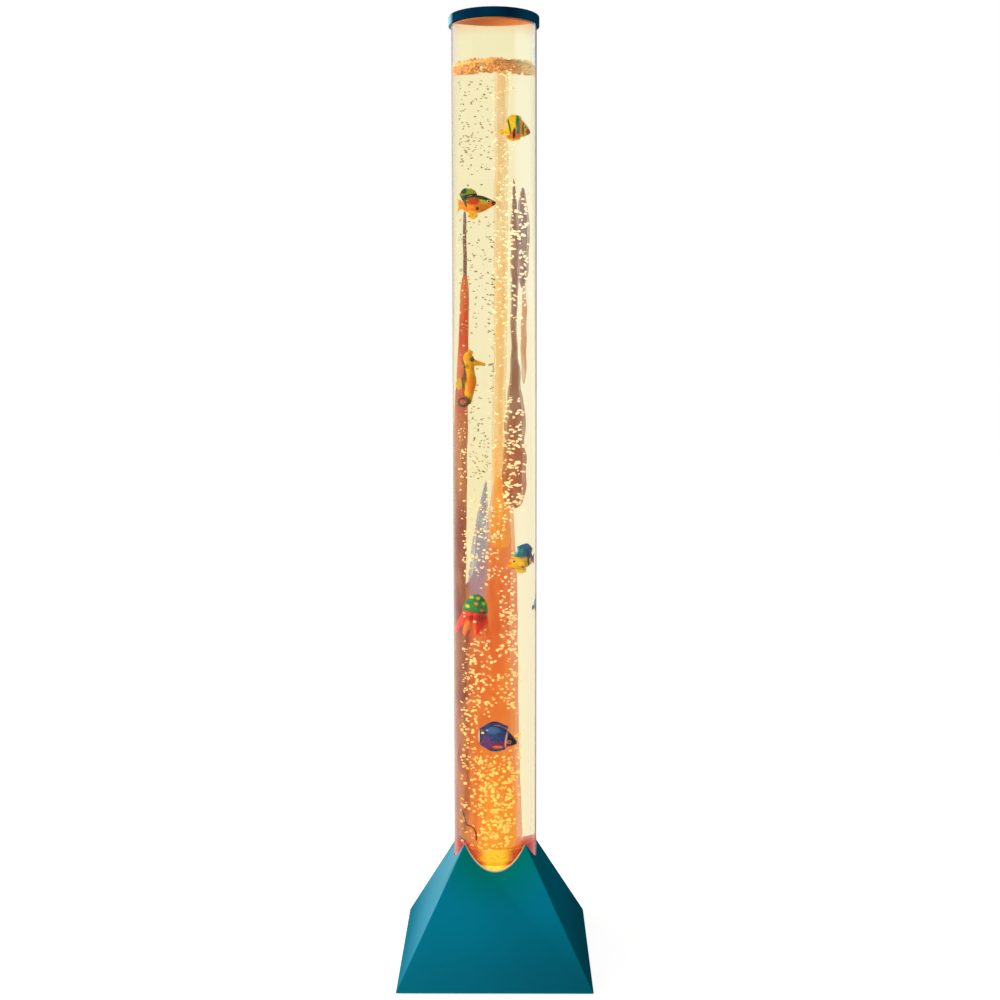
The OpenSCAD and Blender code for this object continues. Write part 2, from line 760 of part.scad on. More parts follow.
module arm_pin() {
    color("silver") in_pump() translate([pivot_x, pivot_y, 1.5])
        cylinder(r = pin_r, h = case_h - 4, $fn = 48);
}

// Rubber bellows between the arm and the valve block, with two folds
module diaphragm() {
    color("#2a2a2a") in_pump() translate([arm_x - diaphragm_l, diaphragm_y, arm_mid_z])
        rotate([0, 90, 0]) rotate_extrude($fn = 48)
            polygon([[0, 1], [diaphragm_r - 2, 1], [diaphragm_r - 2, 0], [diaphragm_r, 0],
                [diaphragm_r, 2], [diaphragm_r - 2, 3.2], [diaphragm_r - 1, 4.6],
                [diaphragm_r - 3, 6], [diaphragm_r - 2.4, 7.2], [3, 8], [3, diaphragm_l],
                [0, diaphragm_l]]);
}

module valve_block() {
    color("#d8d8d0") in_pump() difference() {
        union() {
            translate([valve_x, diaphragm_y - valve_w / 2, arm_mid_z - valve_h / 2])
                cube([valve_l, valve_w, valve_h]);
            along_y(outlet_x, -outlet_l, arm_mid_z)
                cylinder(r = outlet_r, h = outlet_l + diaphragm_y - valve_w / 2 + 1, $fn = 32);
        }
        translate([valve_x + 5, diaphragm_y - valve_w / 2 + 2, arm_mid_z + valve_h / 2 - 1.5])
            cube([valve_l - 10, valve_w - 4, 2]);
        along_y(outlet_x, -outlet_l - 1, arm_mid_z) cylinder(r = 1.3, h = outlet_l + 6, $fn = 24);
    }
}

module pump_hose() {
    color("#d0e0e0") swept(pump_route, hose_r);
}

module check_valve() {
    length = valve_to[0] - valve_from[0];
    color("#e8e8e8") translate(valve_from) rotate([0, 90, 0]) {
        cylinder(r = hose_r - 0.6, h = length, $fn = 32);
        translate([0, 0, 5]) cylinder(r = hose_r + 2, h = length - 10, $fn = 32);
        translate([0, 0, length / 2 - 1]) cylinder(r = hose_r + 3, h = 2, $fn = 32);
    }
}

module nozzle_hose() {
    color("#d0e0e0") swept(nozzle_route, hose_r);
}

// ---------- Controls ----------

module control_board() {
    color("#2f7a3c") difference() {
        translate([control_x, control_y - board_t, control_z]) cube([control_w, board_t, control_h]);
        for (x = post_x, z = post_z)
            along_y(x, control_y - board_t - 1, z) cylinder(r = 1.1, h = 4, $fn = 24);
    }
}

// Three plugs for the leads, the controller chip and a capacitor
module board_parts() {
    front_y = control_y - board_t;
    color("#e8e2d0") {
        for (x = lead_x)
            translate([x - plug_size[0] / 2, plug_back_y, lead_z - plug_size[2] / 2]) cube(plug_size);
        translate([button_x - 4, front_y - 1.8, panel_mid_z - 5]) cube([8, 1.8, 6]);
        along_y(button_x + 8, front_y - 6, panel_mid_z) cylinder(r = 2.5, h = 6, $fn = 32);
    }
}

module control_screws() {
    color("silver") for (x = post_x, z = post_z)
        along_y(x, control_y - board_t - small_screw[3], z)
            screw(small_screw[0], small_screw[1] + 1, small_screw[2], small_screw[3]);
}

module tact_switch() {
    half = switch_size / 2;
    color("#303438") {
        translate([button_x - half, control_y, panel_mid_z - half])
            cube([switch_size, switch_t, switch_size]);
        along_y(button_x, control_y + switch_t - eps, panel_mid_z)
            cylinder(r = 1.7, h = plunger_t + eps, $fn = 32);
    }
}

module push_button() {
    flange_y = panel_in_y - flange_t - 0.1;
    color("#e8e8e8") {
        along_y(button_x, flange_y, panel_mid_z) cylinder(r = flange_r, h = flange_t);
        along_y(button_x, stem_end_y, panel_mid_z)
            cylinder(r = stem_r, h = flange_y - stem_end_y + eps, $fn = 32);
        along_y(button_x, flange_y + flange_t - eps, panel_mid_z) {
            cylinder(r = button_r, h = button_face_y - 0.6 - flange_y - flange_t + 2 * eps);
            translate([0, 0, button_face_y - 0.6 - flange_y - flange_t])
                cylinder(r1 = button_r, r2 = button_r - 0.6, h = 0.6 + eps);
        }
    }
}

// Coil spring from the control board to the button's flange
module button_spring() {
    length = panel_in_y - flange_t - 0.1 - control_y - 2 * spring_wire_r;
    per_turn = 10;
    rings = spring_turns * per_turn;
    echo(spring_gap = length / spring_turns - 2 * spring_wire_r);
    route = [for (i = [0 : rings]) let (a = 360 * i / per_turn)
        [spring_r * cos(a), spring_r * sin(a), spring_wire_r + length * i / rings]];
    color("silver") along_y(button_x, control_y, panel_mid_z) swept(route, spring_wire_r, 6);
}

// Round inlet with a centre pin, held in the panel by its flange and a nut
module dc_socket() {
    face_y = panel_y + jack_flange_t;
    color("#202428") {
        difference() {
            union() {
                along_y(jack_x, jack_back_y, panel_mid_z) cylinder(r = jack_r, h = face_y - jack_back_y);
                along_y(jack_x, panel_y, panel_mid_z) cylinder(r = jack_flange_r, h = jack_flange_t);
                for (x = [-2.5, 1.5])
                    translate([jack_x + x, jack_back_y - 4, panel_mid_z - 0.4]) cube([1, 4 + eps, 0.8]);
            }
            along_y(jack_x, face_y - jack_depth, panel_mid_z)
                cylinder(r = jack_hole_r, h = jack_depth + 1, $fn = 32);
        }
        along_y(jack_x, face_y - jack_depth - eps, panel_mid_z)
            cylinder(r = jack_pin_r, h = jack_depth - 0.5, $fn = 24);
    }
}

module dc_nut() {
    color("silver") along_y(jack_x, panel_in_y - dc_nut_t, panel_mid_z) difference() {
        cylinder(r = dc_nut_r, h = dc_nut_t, $fn = 6);
        translate([0, 0, -1]) cylinder(r = jack_r + fit, h = dc_nut_t + 2);
    }
}

module jack_lead() {
    color("#b02020") swept(jack_route, lead_r);
}

module pump_lead() {
    color("#b02020") swept(pump_route_lead, lead_r);
}

module led_lead() {
    color("#b02020") swept(led_route, lead_r);
}

// ---------- Fish ----------

// Body that runs along X. Each section is [x, middle height, half height, half thickness].
module fish_body(sections, n = 12) {
    points = [for (s = sections, k = [0 : n - 1]) let (a = 360 * k / n)
        [s[0], s[3] * cos(a), s[1] + s[2] * sin(a)]];
    polyhedron(points, tube_faces(len(sections), n));
}

// Flat fin in the fish's middle plane
module fin(outline) {
    rotate([90, 0, 0]) linear_extrude(height = fin_t, center = true) polygon(outline);
}

// Round fin lobe in the same plane
module lobe(x, z, r) {
    translate([x, 0, z]) rotate([90, 0, 0]) cylinder(r = r, h = fin_t, center = true, $fn = 32);
}

// Puts a fish at its place in the column
module hung(i) {
    translate([fish_at[i][0] * fish_size, fish_at[i][1] * fish_size, plug_top + fish_share[i] * column_h])
        scale(fish_size) rotate(fish_turn[i]) children();
}

module fish_1() {
    color("#e8c020") hung(0) {
        fish_body([[-8.5, 0, 2, 1], [-7, 0, 3.6, 1.6], [-4, 0.4, 8, 3], [0, 0.5, 9.6, 4],
            [4, 0.5, 8.4, 3.6], [8, 0, 4, 2.4], [11, -0.5, 1, 0.9]]);
        fin([[-8, -1.6], [-11, -6], [-10, 0], [-11, 6], [-8, 1.6]]);
        fin([[5, 7], [1, 11.6], [-5, 12], [-7, 8], [-6, 4]]);
        fin([[4, -6], [0, -10.6], [-5, -12], [-7, -8], [-6, -4]]);
    }
}

module fish_2() {
    color("#f08c18") hung(1) {
        fish_body([[-11.4, -1, 4, 1.4], [-9, -0.8, 6, 2.6], [-5, -0.5, 9, 4.2], [0, -0.5, 9.8, 5],
            [5, -0.2, 8.2, 4.5], [10, 0.2, 4.4, 3], [13.6, 0.5, 1.1, 1]]);
        fin([[-10.6, -5], [-13.6, -8], [-13, -1], [-13.6, 5.6], [-10.6, 3]]);
        lobe(-8, 9, 5.6);
        lobe(-1.5, -11.4, 3.2);
    }
}

// Seahorse: body along Z, snout, back fin and a curled tail
module fish_3() {
    sections = [[29, 2.2, 0.8, 0.8], [24, 2, 3, 2], [18, 1, 5.4, 3.5], [12, 0.2, 5, 3.5],
        [8, -1, 4, 3.2], [2, -0.8, 5.6, 4], [-2, -0.4, 6.3, 4.4], [-8, -0.2, 5, 3.6],
        [-14, -0.5, 3.4, 2.4], [-22, -0.8, 2.2, 1.8], [-29, -1.6, 1.1, 1.1]];
    n = 12;
    points = [for (s = sections, k = [0 : n - 1]) let (a = 360 * k / n)
        [s[1] + s[2] * cos(a), -s[3] * sin(a), s[0]]];
    color("#e8b810") hung(2) {
        polyhedron(points, tube_faces(len(sections), n));
        translate([3, 0, 16.4]) rotate([0, 99, 0]) cylinder(r1 = 3, r2 = 1.5, h = 9.4, $fn = 24);
        fin([[-4, 2], [-12.5, 1], [-10, -10], [-5, -8]]);
        translate([-5.6, 0, -22]) rotate([90, 0, 0])
            rotate_extrude($fn = 32) translate([4.1, 0]) circle(r = 1.2, $fn = 16);
    }
}

module fish_4() {
    color("#f0c030") hung(3) {
        fish_body([[-9.4, -1, 3, 1.2], [-7, 0, 6, 2], [-4, 1, 10, 4], [0, 0.5, 11, 5],
            [4, -1, 9, 4.4], [8, -3.5, 5, 3], [10.8, -4.5, 1.2, 1]]);
        fin([[-8.6, -3], [-10.8, -8], [-10.4, -1], [-10.8, 5], [-8.6, 2]]);
        lobe(-2, 9.2, 5.4);
        lobe(1, -11, 3.4);
    }
}

// Jellyfish: a tall dome with eight arms that spread downwards
module fish_5() {
    dome_r = 9;
    dome_h = 18.6;
    arms = 8;
    steps = 8;
    dome = [for (i = [0 : steps]) let (a = 90 * i / steps) [dome_r * cos(a), 3 + dome_h * sin(a)]];
    color("#e05020") hung(4) {
        rotate_extrude($fn = 40) polygon(concat([[0, 3], [dome_r, 3]], [for (i = [1 : steps]) dome[i]]));
        for (i = [0 : arms - 1])
            rotate(i * 360 / arms) translate([5.6, 0, 4.2]) rotate([0, 159, 0])
                cylinder(r1 = 2.7, r2 = 1.1, h = 26, $fn = 16);
    }
}

module fish_6() {
    color("#5060c0") hung(5) {
        fish_body([[-11.4, 0, 3, 1.3], [-9.5, 0, 4.6, 2], [-6, 0, 9.4, 4], [0, 0, 12, 5],
            [6, 0, 10, 4.6], [11, -0.5, 5.4, 3], [14.5, -1, 1.3, 1.1]]);
        fin([[-10.8, -2], [-14.5, -8], [-13, 0], [-14.5, 8], [-10.8, 2]]);
        fin([[7, 8], [2, 14.4], [-6, 15], [-9, 9], [-8, 5]]);
        fin([[6, -8], [1, -14.2], [-6, -15], [-9, -9], [-8, -5]]);
    }
}

module fish_7() {
    color("#2090b0") hung(6) {
        fish_body([[-8, 0, 2.4, 1], [-6, 0, 4.6, 1.6], [-2, 0, 8, 3], [2, 0, 8.4, 3.2],
            [7, 0, 4.4, 2.2], [10.6, 0, 1.1, 0.9]]);
        fin([[-7.6, -2], [-10.6, -6], [-9.6, 0], [-10.6, 6], [-7.6, 2]]);
        lobe(-2, 7, 4);
        lobe(0, -7.4, 3.4);
    }
}

base_shell();
bottom_plate();
plate_screws();
rubber_feet();
tube_socket();
socket_screws();
tube();
tube_plug();
plug_ring();
air_nozzle();
nozzle_washer();
nozzle_nut();
bubble_head();
top_cap();
cap_liner();
led_tray();
tray_screws();
led_board();
leds();
board_screws();
pump_case();
pump_lid();
pump_screws();
pump_pads();
pump_core();
pump_coil();
pump_arm();
arm_magnet();
arm_pin();
diaphragm();
valve_block();
pump_hose();
check_valve();
nozzle_hose();
control_board();
board_parts();
control_screws();
tact_switch();
push_button();
button_spring();
dc_socket();
dc_nut();
jack_lead();
pump_lead();
led_lead();
fish_1();
fish_2();
fish_3();
fish_4();
fish_5();
fish_6();
fish_7();
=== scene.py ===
import bpy
import json
import math
import random
from mathutils import Matrix, Vector


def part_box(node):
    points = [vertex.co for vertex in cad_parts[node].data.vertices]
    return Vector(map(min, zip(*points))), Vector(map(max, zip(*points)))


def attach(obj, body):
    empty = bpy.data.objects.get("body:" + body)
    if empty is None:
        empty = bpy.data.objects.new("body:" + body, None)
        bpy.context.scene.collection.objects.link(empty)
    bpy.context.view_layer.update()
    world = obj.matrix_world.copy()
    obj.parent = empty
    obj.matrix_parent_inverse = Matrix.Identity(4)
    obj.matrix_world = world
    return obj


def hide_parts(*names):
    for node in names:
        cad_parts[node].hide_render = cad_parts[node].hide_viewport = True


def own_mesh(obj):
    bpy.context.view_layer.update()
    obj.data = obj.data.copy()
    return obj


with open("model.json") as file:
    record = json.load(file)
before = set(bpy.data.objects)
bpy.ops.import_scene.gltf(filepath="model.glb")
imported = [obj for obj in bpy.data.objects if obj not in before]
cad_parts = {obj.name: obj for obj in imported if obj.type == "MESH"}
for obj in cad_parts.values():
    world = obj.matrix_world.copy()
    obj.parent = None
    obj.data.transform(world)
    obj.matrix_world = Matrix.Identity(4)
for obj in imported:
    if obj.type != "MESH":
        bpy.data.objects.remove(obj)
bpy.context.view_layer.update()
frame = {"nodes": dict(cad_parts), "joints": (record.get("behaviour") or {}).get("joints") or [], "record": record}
mm = 0.001


def linear(r, g, b):
    # a colour written 0 to 255, as the shader wants it
    def one(c):
        c = c / 255
        return c / 12.92 if c <= 0.04045 else ((c + 0.055) / 1.055) ** 2.4
    return (one(r), one(g), one(b), 1)


def deselectAll():
    if bpy.context.object and bpy.context.object.mode != "OBJECT":
        bpy.ops.object.mode_set(mode="OBJECT")
    bpy.ops.object.select_all(action="DESELECT")


def selectOnly(*pieces):
    deselectAll()
    for piece in pieces:
        piece.select_set(True)
    bpy.context.view_layer.objects.active = pieces[0]


def editMode(select="SELECT"):
    bpy.ops.object.mode_set(mode="EDIT")
    bpy.ops.mesh.select_all(action=select)


def objectMode():
    bpy.ops.object.mode_set(mode="OBJECT")


def applyTransforms(piece=None, matrix=None):
    if matrix is not None:
        piece.matrix_world = matrix
    bpy.ops.object.transform_apply(location=True, rotation=True, scale=True)


def applyModifier(piece, kind, name, **values):
    bpy.context.view_layer.objects.active = piece
    modifier = piece.modifiers.new(name, kind)
    for key, value in values.items():
        setattr(modifier, key, value)
    bpy.ops.object.modifier_apply(modifier=name)


def smoothBy(degrees):
    bpy.ops.object.shade_smooth_by_angle(angle=math.radians(degrees))


def normalsOut():
    # all of the mesh in hand, back in object mode
    bpy.ops.mesh.select_all(action="SELECT")
    bpy.ops.mesh.normals_make_consistent(inside=False)
    objectMode()


def spin(degrees, axis):
    return Matrix.Rotation(math.radians(degrees), 4, axis)


def copyPiece(source, name=None):
    # a copy with a mesh of its own
    piece = source.copy()
    piece.data = source.data.copy()
    if name:
        piece.name = piece.data.name = name
    bpy.context.scene.collection.objects.link(piece)
    return piece


def joinPieces(pieces, name=None):
    selectOnly(*pieces)
    bpy.ops.object.join()
    if name:
        pieces[0].name = pieces[0].data.name = name
    return pieces[0]


def dress(piece, mat):
    piece.data.materials.clear()
    piece.data.materials.append(mat)


def register(piece, mat, body="lamp", node=None):
    # its look, its body and the CAD part that it stands for
    if mat:
        dress(piece, mat)
    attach(piece, body)
    if node:
        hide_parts(node)


class NodeSheet:
    # the nodes of one material, group or world, with short ways to add and join them

    def __init__(self, tree):
        self.nodes, self.links = tree.nodes, tree.links

    def put(self, socket, value):
        if isinstance(value, bpy.types.NodeSocket):
            self.links.new(value, socket)
        else:
            socket.default_value = value

    def add(self, kind, inputs=None, **settings):
        node = self.nodes.new("ShaderNode" + kind)
        for key, value in settings.items():
            setattr(node, key, value)
        for label, value in (inputs or {}).items():
            self.put(node.inputs[label], value)
        return node

    def math(self, kind, first, second=0.0):
        return self.add("Math", {0: first, 1: second}, operation=kind).outputs[0]

    def times(self, first, second):
        return self.math("MULTIPLY", first, second)

    def size(self, value):
        return self.math("ABSOLUTE", value)

    def away(self, apart):
        # distance from the lamp's axis
        squares = [self.math("POWER", apart[k], 2) for k in (0, 1)]
        return self.math("SQRT", self.math("ADD", *squares))

    def mix(self, factor, first, second):
        return self.add("Mix", {0: factor, 6: first, 7: second}, data_type="RGBA").outputs[2]

    def span(self, value, low, high, outLow=0.0, outHigh=1.0, smooth=False):
        node = self.add("MapRange", {"Value": value, "From Min": low, "From Max": high, "To Min": outLow,
                                     "To Max": outHigh})
        if smooth:
            node.interpolation_type = "SMOOTHSTEP"
        return node.outputs["Result"]

    def place(self):
        # object coordinates, whole and apart
        whole = self.add("TexCoord").outputs["Object"]
        return whole, self.add("SeparateXYZ", {0: whole}).outputs

    def noise(self, place, scale, detail=2.0):
        return self.add("TexNoise", {"Vector": place, "Scale": scale, "Detail": detail}).outputs["Fac"]

    def cells(self, place, scale, **settings):
        return self.add("TexVoronoi", {"Vector": place, "Scale": scale}, **settings).outputs["Distance"]

    def bump(self, height, strength, distance, invert=False):
        inputs = {"Height": height, "Strength": strength, "Distance": distance}
        return self.add("Bump", inputs, invert=invert).outputs[0]

    def facing(self):
        return self.add("LayerWeight", {"Blend": 0.5}).outputs["Facing"]

    def skin(self, tone, inputs, glow=None, glowTone=None):
        if glow is not None:
            inputs = {**inputs, "Emission Color": glowTone or tone, "Emission Strength": glow}
        return self.add("BsdfPrincipled", {"Base Color": tone, **inputs}).outputs[0]

    def out(self, shader):
        self.add("OutputMaterial", {"Surface": shader})


camera = {
    "place": (0.0142, -1.272, 0.6016),
    "pitch": 4.38,  # degrees below level
    "yaw": 0.412,
    "roll": -0.094,
    "lens": 48.05,
    "shift": -0.06,
}

studio = {
    "keyPlace": (-1.8, -0.72, 0.7),
    "keyAim": (0, 0, 0.3),
    "keySize": (1.1, 1.5),
    "keyPower": 56,
    "worldLight": 0.405,
    "backdrop": 1.0,  # 1 is white
    "floorSize": 30,
    "floorColour": (0.62, 0.62, 0.61, 1),
    "floorLift": 0.82,
    "bounces": 20,
    "clearBounces": 24,  # one bubble or shell of haze behind another
}


def setCamera():
    data = bpy.data.cameras.new("viewCamera")
    data.lens = camera["lens"]
    data.sensor_width = 36
    data.shift_y = camera["shift"]
    data.clip_end = 50
    cam = bpy.data.objects.new("viewCamera", data)
    bpy.context.scene.collection.objects.link(cam)
    cam.matrix_world = (Matrix.Translation(camera["place"]) @ spin(camera["yaw"], "Z")
                        @ spin(90 - camera["pitch"], "X") @ spin(camera["roll"], "Z"))
    bpy.context.scene.camera = cam


def seesBackdrop(sheet):
    # 1 for rays that come from the camera, a mirror or glass
    path = sheet.add("LightPath").outputs
    first = sheet.math("MAXIMUM", path["Is Camera Ray"], path["Is Glossy Ray"])
    return sheet.math("MAXIMUM", first, path["Is Transmission Ray"])


def newSheet(name, kind="materials"):
    owner = getattr(bpy.data, kind).new(name)
    owner.use_nodes = True
    owner.node_tree.nodes.clear()
    return owner, NodeSheet(owner.node_tree)


def setStudio():
    scene = bpy.context.scene
    scene.view_settings.view_transform = "Standard"
    scene.cycles.max_bounces = studio["bounces"]
    scene.cycles.transmission_bounces = studio["bounces"]
    scene.cycles.transparent_max_bounces = studio["clearBounces"]

    scene.world, sheet = newSheet("studioAir", "worlds")
    lamp = sheet.add("Background", {"Strength": studio["worldLight"]})
    seen = sheet.add("Background", {"Color": (1, 1, 1, 1), "Strength": studio["backdrop"]})
    mix = sheet.add("MixShader", {0: seesBackdrop(sheet), 1: lamp.outputs[0], 2: seen.outputs[0]})
    sheet.add("OutputWorld", {"Surface": mix.outputs[0]})

    key = bpy.data.lights.new("keySoftbox", "AREA")
    key.shape = "RECTANGLE"
    key.size, key.size_y = studio["keySize"]
    key.energy = studio["keyPower"]
    keyObject = bpy.data.objects.new("keySoftbox", key)
    scene.collection.objects.link(keyObject)
    keyObject.location = studio["keyPlace"]
    keyObject.visible_glossy = False  # no window of light on the glass
    keyObject.visible_transmission = False
    keyObject.visible_camera = False
    aim = Vector(studio["keyAim"]) - Vector(studio["keyPlace"])
    keyObject.rotation_euler = aim.to_track_quat("-Z", "Y").to_euler()

    deselectAll()
    bpy.ops.mesh.primitive_plane_add(size=studio["floorSize"], location=(0, 0, 0))
    floor = bpy.context.object
    floor.name = "studioFloor"
    applyTransforms()
    mat, sheet = newSheet("paleFloor")
    paint = sheet.add("BsdfDiffuse", {"Color": studio["floorColour"]})
    lift = sheet.add("Emission", {"Strength": sheet.times(seesBackdrop(sheet), studio["floorLift"])})
    sheet.out(sheet.add("AddShader", {0: paint.outputs[0], 1: lift.outputs[0]}).outputs[0])
    dress(floor, mat)


setCamera()
setStudio()
print("camera, light and floor set")


def newGroup(name, inputs, outputs):
    # inputs and outputs by name, each with a usual value that also shows its kind
    group = bpy.data.node_groups.new(name, "ShaderNodeTree")
    for way, sockets in (("INPUT", inputs), ("OUTPUT", outputs)):
        for label, value in sockets.items():
            kind = {1: "Float", 3: "Vector", 4: "Color"}[len(value) if isinstance(value, tuple) else 1]
            socket = group.interface.new_socket(label, in_out=way, socket_type="NodeSocket" + kind)
            if way == "INPUT":
                socket.default_value = value
    inn, out = group.nodes.new("NodeGroupInput"), group.nodes.new("NodeGroupOutput")
    return group, NodeSheet(group), inn.outputs, out.inputs


white = (1, 1, 1, 1)


def makeGrain():
    # soft blotches of a second colour, fine bumps, and a gloss that wanders with them
    group, sheet, inn, out = newGroup("fineGrain", {
        "Colour": (0.5, 0.5, 0.5, 1), "Second Colour": (0.4, 0.4, 0.4, 1), "Blotch Scale": 30.0,
        "Blotch Amount": 0.5, "Grain Scale": 900.0, "Bump": 0.1, "Roughness": 0.4, "Roughness Spread": 0.1,
    }, {"Colour": white, "Roughness": 0.0, "Normal": (0, 0, 0)})
    place, _ = sheet.place()
    blotch = sheet.noise(place, inn["Blotch Scale"], 4)
    amount = sheet.times(sheet.span(blotch, 0.35, 0.65), inn["Blotch Amount"])
    sheet.put(out["Colour"], sheet.mix(amount, inn["Colour"], inn["Second Colour"]))
    sheet.put(out["Normal"], sheet.bump(sheet.noise(place, inn["Grain Scale"]), inn["Bump"], 0.0002))
    wander = sheet.times(sheet.math("SUBTRACT", blotch, 0.5), inn["Roughness Spread"])
    sheet.put(out["Roughness"], sheet.math("ADD", wander, inn["Roughness"]))
    return group


def makeEdgeRub():
    # 1 on sharp outer edges, broken up by noise, where a sheen is painted
    group, sheet, inn, out = newGroup("edgeSheenMask", {"Low": 0.52, "High": 0.6, "Scale": 120.0}, {"Mask": 0.0})
    sharp = sheet.add("NewGeometry").outputs["Pointiness"]
    edge = sheet.span(sharp, inn["Low"], inn["High"])
    patch = sheet.span(sheet.noise(sheet.place()[0], inn["Scale"]), 0.35, 0.6)
    sheet.put(out["Mask"], sheet.times(edge, patch))
    return group


def makeHeightTint():
    # three colours one over the other along Z
    group, sheet, inn, out = newGroup("heightTint", {
        "Low Colour": (1, 0.4, 0.1, 1), "Middle Colour": (1, 0.7, 0.4, 1), "High Colour": (1, 0.95, 0.8, 1),
        "Low Z": 0.1, "Middle Z": 0.4, "High Z": 0.6}, {"Colour": white})
    z = sheet.place()[1][2]
    first = sheet.span(z, inn["Low Z"], inn["Middle Z"], smooth=True)
    second = sheet.span(z, inn["Middle Z"], inn["High Z"], smooth=True)
    lower = sheet.mix(first, inn["Low Colour"], inn["Middle Colour"])
    sheet.put(out["Colour"], sheet.mix(second, lower, inn["High Colour"]))
    return group


fineGrain = makeGrain()
edgeSheenMask = makeEdgeRub()
heightTint = makeHeightTint()


def tintByHeight(sheet, colours, heights):
    labels = ("Low", "Middle", "High")
    inputs = {label + " Colour": colour for label, colour in zip(labels, colours)}
    inputs.update({label + " Z": z for label, z in zip(labels, heights)})
    return sheet.add("Group", inputs, node_tree=heightTint).outputs["Colour"]


def plasticFinish(name, colour, second, roughness=0.4, grain=900, bump=0.12, blotch=30, amount=0.5,
                  spread=0.15, specular=0.5, metallic=0.0, coat=0.0, sheenColour=None, sheenShare=0.6, glow=None,
                  retouch=None):
    # the edge colour is a painted sheen on sharp edges; retouch gets the sheet and the colour and gives a new
    # colour
    mat, sheet = newSheet(name)
    grained = sheet.add("Group", {
        "Colour": linear(*colour), "Second Colour": linear(*second), "Blotch Scale": blotch,
        "Blotch Amount": amount, "Grain Scale": grain, "Bump": bump, "Roughness": roughness,
        "Roughness Spread": spread},
        node_tree=fineGrain).outputs
    tone = grained["Colour"]
    if sheenColour:
        # painted sheen on sharp edges
        sheenMask = sheet.add("Group", node_tree=edgeSheenMask).outputs["Mask"]
        tone = sheet.mix(sheet.times(sheenMask, sheenShare), tone, linear(*sheenColour))
    if retouch:
        tone = retouch(sheet, tone)
    sheet.out(sheet.skin(tone, {
        "Roughness": grained["Roughness"], "Normal": grained["Normal"], "Metallic": metallic,
        "Specular IOR Level": specular, "Coat Weight": coat}, glow))
    return mat


glass = {
    "acrylicIor": 1.49,
    "waterIor": 1.33,
    "hoseIor": 1.4,
    "hoseRoughness": 0.25,
    "mirrored": (0.16, 0.16, 0.16, 1),  # a dim room is in front of the lamp
}


def glassSkin(sheet, tint, ior, roughness=0.0):
    return sheet.skin(tint, {
        "Transmission Weight": 1, "IOR": ior, "Roughness": roughness, "Specular Tint": glass["mirrored"]})


def letLampsThrough(sheet, pane, tint):
    # lamps light what is behind the glass
    shadow = sheet.add("LightPath").outputs["Is Shadow Ray"]
    clear = sheet.add("BsdfTransparent", {"Color": tint}).outputs[0]
    sheet.out(sheet.add("MixShader", {0: shadow, 1: pane, 2: clear}).outputs[0])


print("finishes ready")

base = {
    "colour": (4, 121, 146),
    "second": (4, 114, 136),
    "glowColour": (0, 118, 92),  # where the light of the tube leaks onto the plastic
    "glowReach": (36 * mm, 74 * mm),
    "glowZ": (45 * mm, 100 * mm),
    "glowShare": 0.8,
    "frontDepth": (26 * mm, 34 * mm),  # how far in front of or behind the middle the glow sets in
    "paleColour": (104, 160, 178),  # the left side looks washed out by the light, more so higher up
    "paleZ": (10 * mm, 125 * mm),
    "paleShare": (0.06, 0.84),
    "paleFrom": (-2.5 * mm, -1 * mm),  # past the ridge
    "rimColour": (255, 240, 190),
    "rimReach": (40.5 * mm, 41.4 * mm),
    "rimShare": 0.95,
    # painted shade: darker towards the bottom
    "darkColour": (12, 84, 98),
    "shadeZ": (6 * mm, 62 * mm),
    "shadeShare": 0.5,
    "edgeRound": 0.5 * mm,
    "tipZ": 174 * mm,
    "slope": 91 / 172,
}


def outerSkin(co):
    return abs(max(abs(co.x), abs(co.y)) - (base["tipZ"] - co.z) * base["slope"]) < 0.02 * mm


# painted light and shade on the moulding: the tube's glow near the hole, the washed-out left side, painted shade
# low down and the lit rim
def baseTone(sheet, tone):
    _, place = sheet.place()
    away = sheet.away(place)
    depth = sheet.size(place[1])
    near = sheet.span(away, *base["glowReach"], base["glowShare"], 0, smooth=True)
    glow = sheet.times(near, sheet.span(place[2], *base["glowZ"], smooth=True))
    facing = sheet.span(depth, *base["frontDepth"])
    side = sheet.span(sheet.math("ADD", place[0], depth), *base["paleFrom"], 1.0, 0.0)
    pale = sheet.times(side, sheet.span(place[2], *base["paleZ"], *base["paleShare"]))
    # painted shade, darker towards the bottom
    low = sheet.span(place[2], *base["shadeZ"], base["shadeShare"], 0.0, smooth=True)
    rim = sheet.span(away, *base["rimReach"], base["rimShare"], 0.0)  # it catches the light of the tube
    for share, colour in (
            (low, "darkColour"), (pale, "paleColour"), (sheet.times(glow, facing), "glowColour"),
            (sheet.times(rim, facing), "rimColour")):
        tone = sheet.mix(share, tone, linear(*base[colour]))
    return tone


def makeBase():
    piece = copyPiece(frame["nodes"]["base_shell"], "baseShell")
    piece.parent = None
    for key in list(piece.keys()):
        del piece[key]
    selectOnly(piece)
    bpy.ops.mesh.customdata_custom_splitnormals_clear()
    editMode()
    bpy.ops.mesh.remove_doubles(threshold=0.002 * mm)
    bpy.ops.mesh.dissolve_limited(angle_limit=math.radians(0.3))
    bpy.ops.mesh.select_all(action="DESELECT")
    bpy.ops.mesh.select_mode(type="EDGE")
    objectMode()
    mesh = piece.data
    normals = {}
    for face in mesh.polygons:
        for key in face.edge_keys:
            normals.setdefault(key, []).append(face.normal.copy())
    for edge in mesh.edges:
        ends = [mesh.vertices[v].co for v in edge.vertices]
        sides = normals.get(edge.key, [])
        sharp = len(sides) == 2 and sides[0].angle(sides[1]) > math.radians(25)
        edge.select = sharp and all(outerSkin(co) for co in ends)
    bpy.ops.object.mode_set(mode="EDIT")
    bpy.ops.mesh.bevel(offset=base["edgeRound"], segments=3, affect="EDGES", clamp_overlap=False)
    objectMode()
    smoothBy(32)
    mat = plasticFinish("tealMoulding", base["colour"], base["second"], roughness=0.5, grain=1600, blotch=14,
                        amount=0.7, spread=0.12, specular=0, retouch=baseTone)
    register(piece, mat, node="base_shell")


makeBase()
print("base made")

